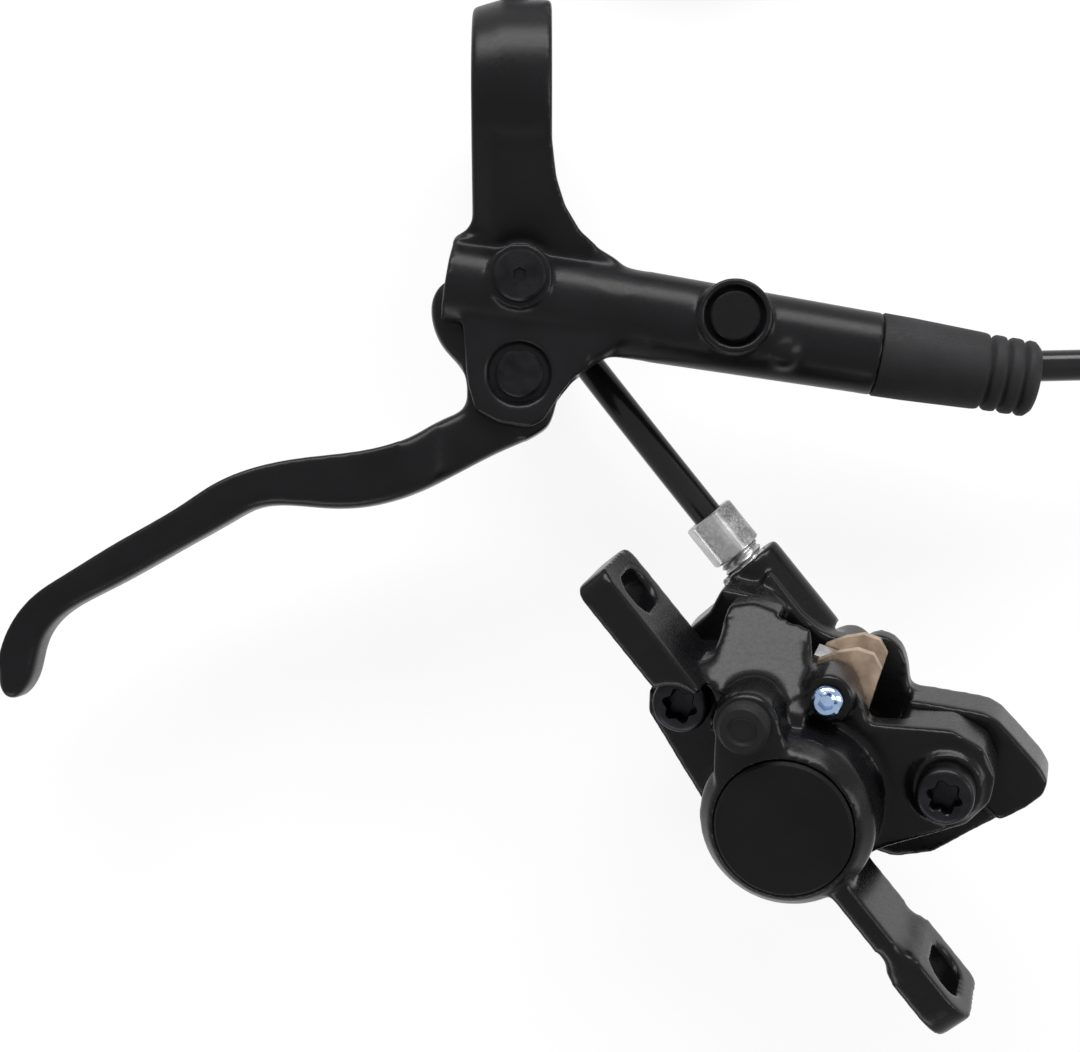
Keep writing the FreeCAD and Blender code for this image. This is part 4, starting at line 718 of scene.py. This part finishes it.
class BRAKE_OT_lever_body(bpy.types.Operator):
    """Grow the lever body's casting from its solid"""

    bl_idname = "brake.lever_body"
    bl_label = "Lever body"

    def execute(self, context):
        rounds = context.scene.brake_castings.rounding
        seats = [
            near_axis(BLEED_SCREW, 6.0, 6.6, 12.0),
            near_axis(PLUG, 6.6, 4.0, 12.0),
            near_axis(PIVOT, 6.3, 3.6, 8.0),
            near_axis(ALONG_CYLINDER, 9.0, 67.5, 71.0),
        ]
        neck_corner = near_axis(placed(17.0, -27.7, 0), 5.0, -8.0, 12.0)
        ear_corner = near_axis(placed(16.8, -41.6, 0), 5.0, -9.0, 9.0)
        cast_piece(
            "lever_body",
            "lever_body_casting",
            "fixed",
            rounds,
            extra_rounds=FILLET_ROUNDS,
            extra_here=any_of([neck_corner, ear_corner]),
            keep_here=any_of(seats),
        )
        return {"FINISHED"}


# Middle line of the blade, as places along and away from the bar in millimetres
BLADE_MIDDLE = [
    (-81.5, -91.0),
    (-76.8, -87.0),
    (-73.0, -81.0),
    (-64.6, -76.0),
    (-51.5, -68.7),
    (-47.4, -66.0),
    (-39.0, -62.8),
    (-32.5, -62.2),
    (-22.0, -61.2),
    (-10.0, -56.5),
    (2.0, -53.0),
]
GRIP_START = (-18.0, -6.0)


def below_middle(point):
    """Says whether a point of the blade is on the side that the fingers pull."""
    x, y = point.x / MM, point.y / MM
    for (x0, y0), (x1, y1) in zip(BLADE_MIDDLE, BLADE_MIDDLE[1:]):
        if x0 <= x <= x1:
            return y < y0 + (y1 - y0) * (x - x0) / (x1 - x0)
    return x < BLADE_MIDDLE[0][0]


def at_grip_start(point):
    """Says whether a point of the blade is where the narrow hub goes over into the broad grip."""
    return GRIP_START[0] < point.x / MM < GRIP_START[1]


class BRAKE_OT_lever_blade(bpy.types.Operator):
    """Grow the lever blade from its solid, with its rounded finger side"""

    bl_idname = "brake.lever_blade"
    bl_label = "Lever blade"

    def execute(self, context):
        sizes = context.scene.brake_castings
        hub = near_axis(PIVOT, 9.0, -9.0, 9.0)
        cast_piece(
            "lever_blade",
            "lever_blade_forging",
            "blade",
            sizes.rounding,
            extra_rounds=sizes.blade_rounding,
            extra_here=lambda point: (below_middle(point) or at_grip_start(point)) and not hub(point),
            keep_here=near_axis(PIVOT, 4.6, -9.0, 9.0),
        )
        return {"FINISHED"}


class BRAKE_OT_caliper_halves(bpy.types.Operator):
    """Grow the caliper's two castings from their solids"""

    bl_idname = "brake.caliper_halves"
    bl_label = "Caliper halves"

    def execute(self, context):
        rounds = context.scene.brake_castings.rounding
        seats = [
            near_axis(CALIPER, 11.0, 22.9, 24.6),
            near_axis(CALIPER @ placed(-BODY_BOLT_SIDE, BODY_BOLT_UP, 0), 5.2, 11.0, 14.0),
            near_axis(CALIPER @ placed(BODY_BOLT_SIDE, BODY_BOLT_UP, 0), 5.2, 10.5, 14.0),
        ]
        bridge = near_axis(CALIPER @ placed(-12.0, 24.0, 0), 10.5, 8.0, 30.0)
        ear_step = near_axis(EARS @ placed(29.9, -3.0, 0), 3.4, -12.0, 12.0)
        cast_piece(
            "caliper_outer_half",
            "caliper_outer_casting",
            "fixed",
            rounds,
            extra_rounds=FILLET_ROUNDS,
            extra_here=any_of([bridge, ear_step]),
            keep_here=any_of(seats),
        )
        cast_piece("caliper_inner_half", "caliper_inner_casting", "fixed", rounds)
        return {"FINISHED"}


class BRAKE_OT_body_bolts(bpy.types.Operator):
    """Turn the two body bolts with their star sockets"""

    bl_idname = "brake.body_bolts"
    bl_label = "Body bolts"

    def execute(self, context):
        sizes = context.scene.brake_fasteners
        points, depth = sizes.star_radius / MM, sizes.star_depth / MM
        for name, side in (("body_bolt_front", -1), ("body_bolt_rear", 1)):
            self.bolt(name, side, points, depth)
        return {"FINISHED"}

    def bolt(self, name, side, points, depth):
        """Heights are over the bolt's seat."""
        valleys = points * 0.74
        middle, swing = (points + valleys) / 2, (points - valleys) / 2
        top, head, shank = 4.58, 4.4, 2.5

        def star(angle):
            return middle + swing * math.cos(6 * angle)

        bm = bmesh.new()
        edges = start_ring(bm, lambda angle: star(angle) * 0.93, top - depth, 96, filled=True)
        edges = ring_on(bm, edges, lambda angle: (star(angle), top - 0.25))
        edges = ring_on(bm, edges, lambda angle: (star(angle) + 0.22, top))
        edges = ring_on(bm, edges, lambda angle: (head - 0.95, top))
        edges = ring_on(bm, edges, lambda angle: (head - 0.45, top - 0.12))
        edges = ring_on(bm, edges, lambda angle: (head - 0.12, top - 0.45))
        edges = ring_on(bm, edges, lambda angle: (head, top - 0.95))
        edges = ring_on(bm, edges, lambda angle: (head, 0.15))
        edges = ring_on(bm, edges, lambda angle: (head - 0.15, 0))
        edges = ring_on(bm, edges, lambda angle: (shank, 0))
        edges = ring_on(bm, edges, lambda angle: (shank, -20.4))
        edges = ring_on(bm, edges, lambda angle: (shank - 0.4, -20.8))
        close_rim(bm, edges)
        place = CALIPER @ placed(side * BODY_BOLT_SIDE, BODY_BOLT_UP, BODY_BOLT_SEAT)
        finish_piece(bm, name + "_star", place, "black_steel", "fixed", name)


class BRAKE_OT_hose_nut(bpy.types.Operator):
    """Turn the hose nut of the caliper, with its chamfered hexagon and thread"""

    bl_idname = "brake.hose_nut"
    bl_label = "Hose nut"

    def execute(self, context):
        pitch = context.scene.brake_fasteners.thread_pitch / MM
        flats, bore, crest = 8.0, 2.55, 3.72
        low, high, start = 2.1, 9.8, -5.5
        rim, slant = flats / 2 - 0.05, math.tan(math.radians(32))

        def hexagon(angle):
            return min(hexagon_reach(angle, flats / 2), flats / math.sqrt(3) - 0.12)

        bm = bmesh.new()
        first = start_ring(bm, lambda angle: bore, start, 72)
        edges = ring_on(bm, first, lambda angle: (crest - 0.6, start))
        rings = int((low - 0.5 - start) / pitch * 8)
        for i in range(rings + 1):
            level = start + 0.3 + i * pitch / 8
            edges = ring_on(bm, edges, lambda angle: self.thread(angle, level, pitch, crest))
        edges = ring_on(bm, edges, lambda angle: (crest - 0.45, low - 0.05))
        edges = ring_on(bm, edges, lambda angle: (rim, low))
        edges = ring_on(bm, edges, lambda angle: (hexagon(angle), low + (hexagon(angle) - rim) * slant))
        edges = ring_on(bm, edges, lambda angle: (hexagon(angle), high - (hexagon(angle) - rim) * slant))
        edges = ring_on(bm, edges, lambda angle: (rim, high))
        edges = ring_on(bm, edges, lambda angle: (bore + 0.35, high))
        edges = ring_on(bm, edges, lambda angle: (bore, high - 0.3))
        bmesh.ops.bridge_loops(bm, edges=first + edges)
        finish_piece(
            bm, "caliper_hose_nut_threaded", HOSE_PORT, "zinc_steel", "fixed", "caliper_hose_nut", crease=28.0
        )
        return {"FINISHED"}

    def thread(self, angle, level, pitch, crest):
        """A single start thread: its crest climbs by one pitch in a turn."""
        share = (level / pitch - angle / (2 * math.pi)) % 1.0
        return crest - 0.5 * abs(2 * share - 1), level


class BRAKE_OT_pad_pin(bpy.types.Operator):
    """Turn the pad pin with its polished domed head"""

    bl_idname = "brake.pad_pin"
    bl_label = "Pad pin"

    def execute(self, context):
        bm = bmesh.new()
        profile = [
            (1.2, 15.95),
            (1.3, 17.05),
            (1.75, 17.25),
            (2.2, 17.0),
            (2.46, 16.5),
            (2.5, 15.9),
            (2.4, 15.52),
            (1.5, 15.52),
            (1.5, -17.1),
            (1.2, -17.4),
        ]

        def socket(angle):
            return hexagon_reach(angle, 1.1)

        edges = start_ring(bm, lambda angle: socket(angle) * 0.96, profile[0][1], 48, filled=True)
        edges = ring_on(bm, edges, lambda angle: (socket(angle), profile[1][1]))
        for radius, level in profile[2:]:
            edges = ring_on(bm, edges, lambda angle: (radius, level))
        close_rim(bm, edges)
        finish_piece(bm, "pad_pin_polished", PAD_PIN, "blue_chrome", "fixed", "pad_pin")
        return {"FINISHED"}


class BRAKE_OT_boot(bpy.types.Operator):
    """Mould the rubber boot over the hose's end at the lever"""

    bl_idname = "brake.boot"
    bl_label = "Hose boot"

    def execute(self, context):
        start, end, wall = 69.65, 95.3, 1.4
        ribs = end - 8.6
        profile = [
            (6.5, start),
            (6.7, start + 0.25),
            (6.62, start + 5.0),
            (6.2, ribs - 1.0),
            (6.12, ribs - 0.3),
        ]
        for i in range(3):
            rib = ribs + i * 2.7
            profile += [
                (6.0, rib + 0.05),
                (5.5, rib + 0.35),
                (5.45, rib + 0.65),
                (5.9, rib + 0.95),
                (6.1, rib + 1.3),
                (6.1, rib + 2.3),
            ]
        profile[-1] = (6.02, ribs + 7.5)
        profile += [(5.7, end - 0.7), (5.2, end - 0.2), (4.6, end), (2.56, end), (2.56, start + 8.2)]
        profile += [(6.6 - wall, start + 7.2), (6.6 - wall, start)]
        bm = bmesh.new()
        first = start_ring(bm, lambda angle: profile[0][0], profile[0][1], 72)
        edges = first
        for radius, level in profile[1:]:
            edges = ring_on(bm, edges, lambda angle: (radius, level))
        bmesh.ops.bridge_loops(bm, edges=first + edges)
        finish_piece(
            bm, "hose_boot_moulded", ALONG_CYLINDER, "boot_rubber", "fixed", "hose_boot", crease=60.0
        )
        return {"FINISHED"}


class BRAKE_OT_springs(bpy.types.Operator):
    """Take over the return spring and the pad spring from their solids, fixed as they stand"""

    bl_idname = "brake.springs"
    bl_label = "Springs"

    def execute(self, context):
        along = CYLINDER.to_3x3() @ Vector((1, 0, 0))
        across = CALIPER.to_3x3() @ Vector((0, 0, 1))
        bore_end, pad_middle = SPRING_END.to_translation(), CALIPER.to_translation()
        self.spring("return_spring", "return_spring_coil", "master_slide", along, bore_end, 0.745)
        self.spring("pad_spring", "pad_spring_leaf", "outer_pad_slide", across, pad_middle, 0.69)
        return {"FINISHED"}

    def spring(self, node, name, joint, axis, anchor, left):
        mesh = merged_copy(node)
        shade_by_angle(mesh, 35.0)
        obj = link_piece(name, mesh)
        dress(obj, SLOT_OF[node])
        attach(obj, "fixed")
        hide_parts(node)
        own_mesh(obj)


class BRAKE_OT_solid_finishes(bpy.types.Operator):
    """Give every part that keeps its solid shape its finish"""

    bl_idname = "brake.solid_finishes"
    bl_label = "Solid parts' finishes"

    def execute(self, context):
        for node, slot in SLOT_OF.items():
            dress(frame["nodes"][node], slot)
        return {"FINISHED"}


class BRAKE_PT_panel(bpy.types.Panel):
    """The brake's pieces and sizes"""

    bl_label = "Disc Brake"
    bl_idname = "BRAKE_PT_panel"
    bl_space_type = "VIEW_3D"
    bl_region_type = "UI"
    bl_category = "Disc Brake"

    def draw(self, context):
        scene = context.scene
        for group in (
            scene.brake_castings,
            scene.brake_fasteners,
            scene.brake_hose,
            scene.brake_colours,
            scene.brake_studio,
        ):
            box = self.layout.box()
            for name in group.bl_rna.properties.keys():
                if name not in {"rna_type", "name"}:
                    box.prop(group, name)
        for piece in PIECES:
            self.layout.operator(piece.bl_idname)


PIECES = (
    BRAKE_OT_studio,
    BRAKE_OT_solid_finishes,
    BRAKE_OT_hose,
    BRAKE_OT_lever_body,
    BRAKE_OT_lever_blade,
    BRAKE_OT_caliper_halves,
    BRAKE_OT_body_bolts,
    BRAKE_OT_hose_nut,
    BRAKE_OT_pad_pin,
    BRAKE_OT_boot,
    BRAKE_OT_springs,
)
GROUPS = {
    "brake_castings": CastingSizes,
    "brake_fasteners": FastenerSizes,
    "brake_hose": HoseSizes,
    "brake_colours": Colours,
    "brake_studio": Studio,
}


def register():
    for group in GROUPS.values():
        bpy.utils.register_class(group)
    for name, group in GROUPS.items():
        setattr(bpy.types.Scene, name, bpy.props.PointerProperty(type=group))
    for piece in PIECES:
        bpy.utils.register_class(piece)
    bpy.utils.register_class(BRAKE_PT_panel)


def unregister():
    bpy.utils.unregister_class(BRAKE_PT_panel)
    for piece in reversed(PIECES):
        bpy.utils.unregister_class(piece)
    for name, group in GROUPS.items():
        delattr(bpy.types.Scene, name)
        bpy.utils.unregister_class(group)


def main():
    register()
    finishes.update(make_finishes(bpy.context.scene.brake_colours))
    bpy.ops.brake.studio()
    bpy.ops.brake.solid_finishes()
    bpy.ops.brake.hose()
    bpy.ops.brake.lever_body()
    bpy.ops.brake.lever_blade()
    bpy.ops.brake.caliper_halves()
    bpy.ops.brake.body_bolts()
    bpy.ops.brake.hose_nut()
    bpy.ops.brake.pad_pin()
    bpy.ops.brake.boot()
    bpy.ops.brake.springs()


if __name__ == "__main__":
    main()
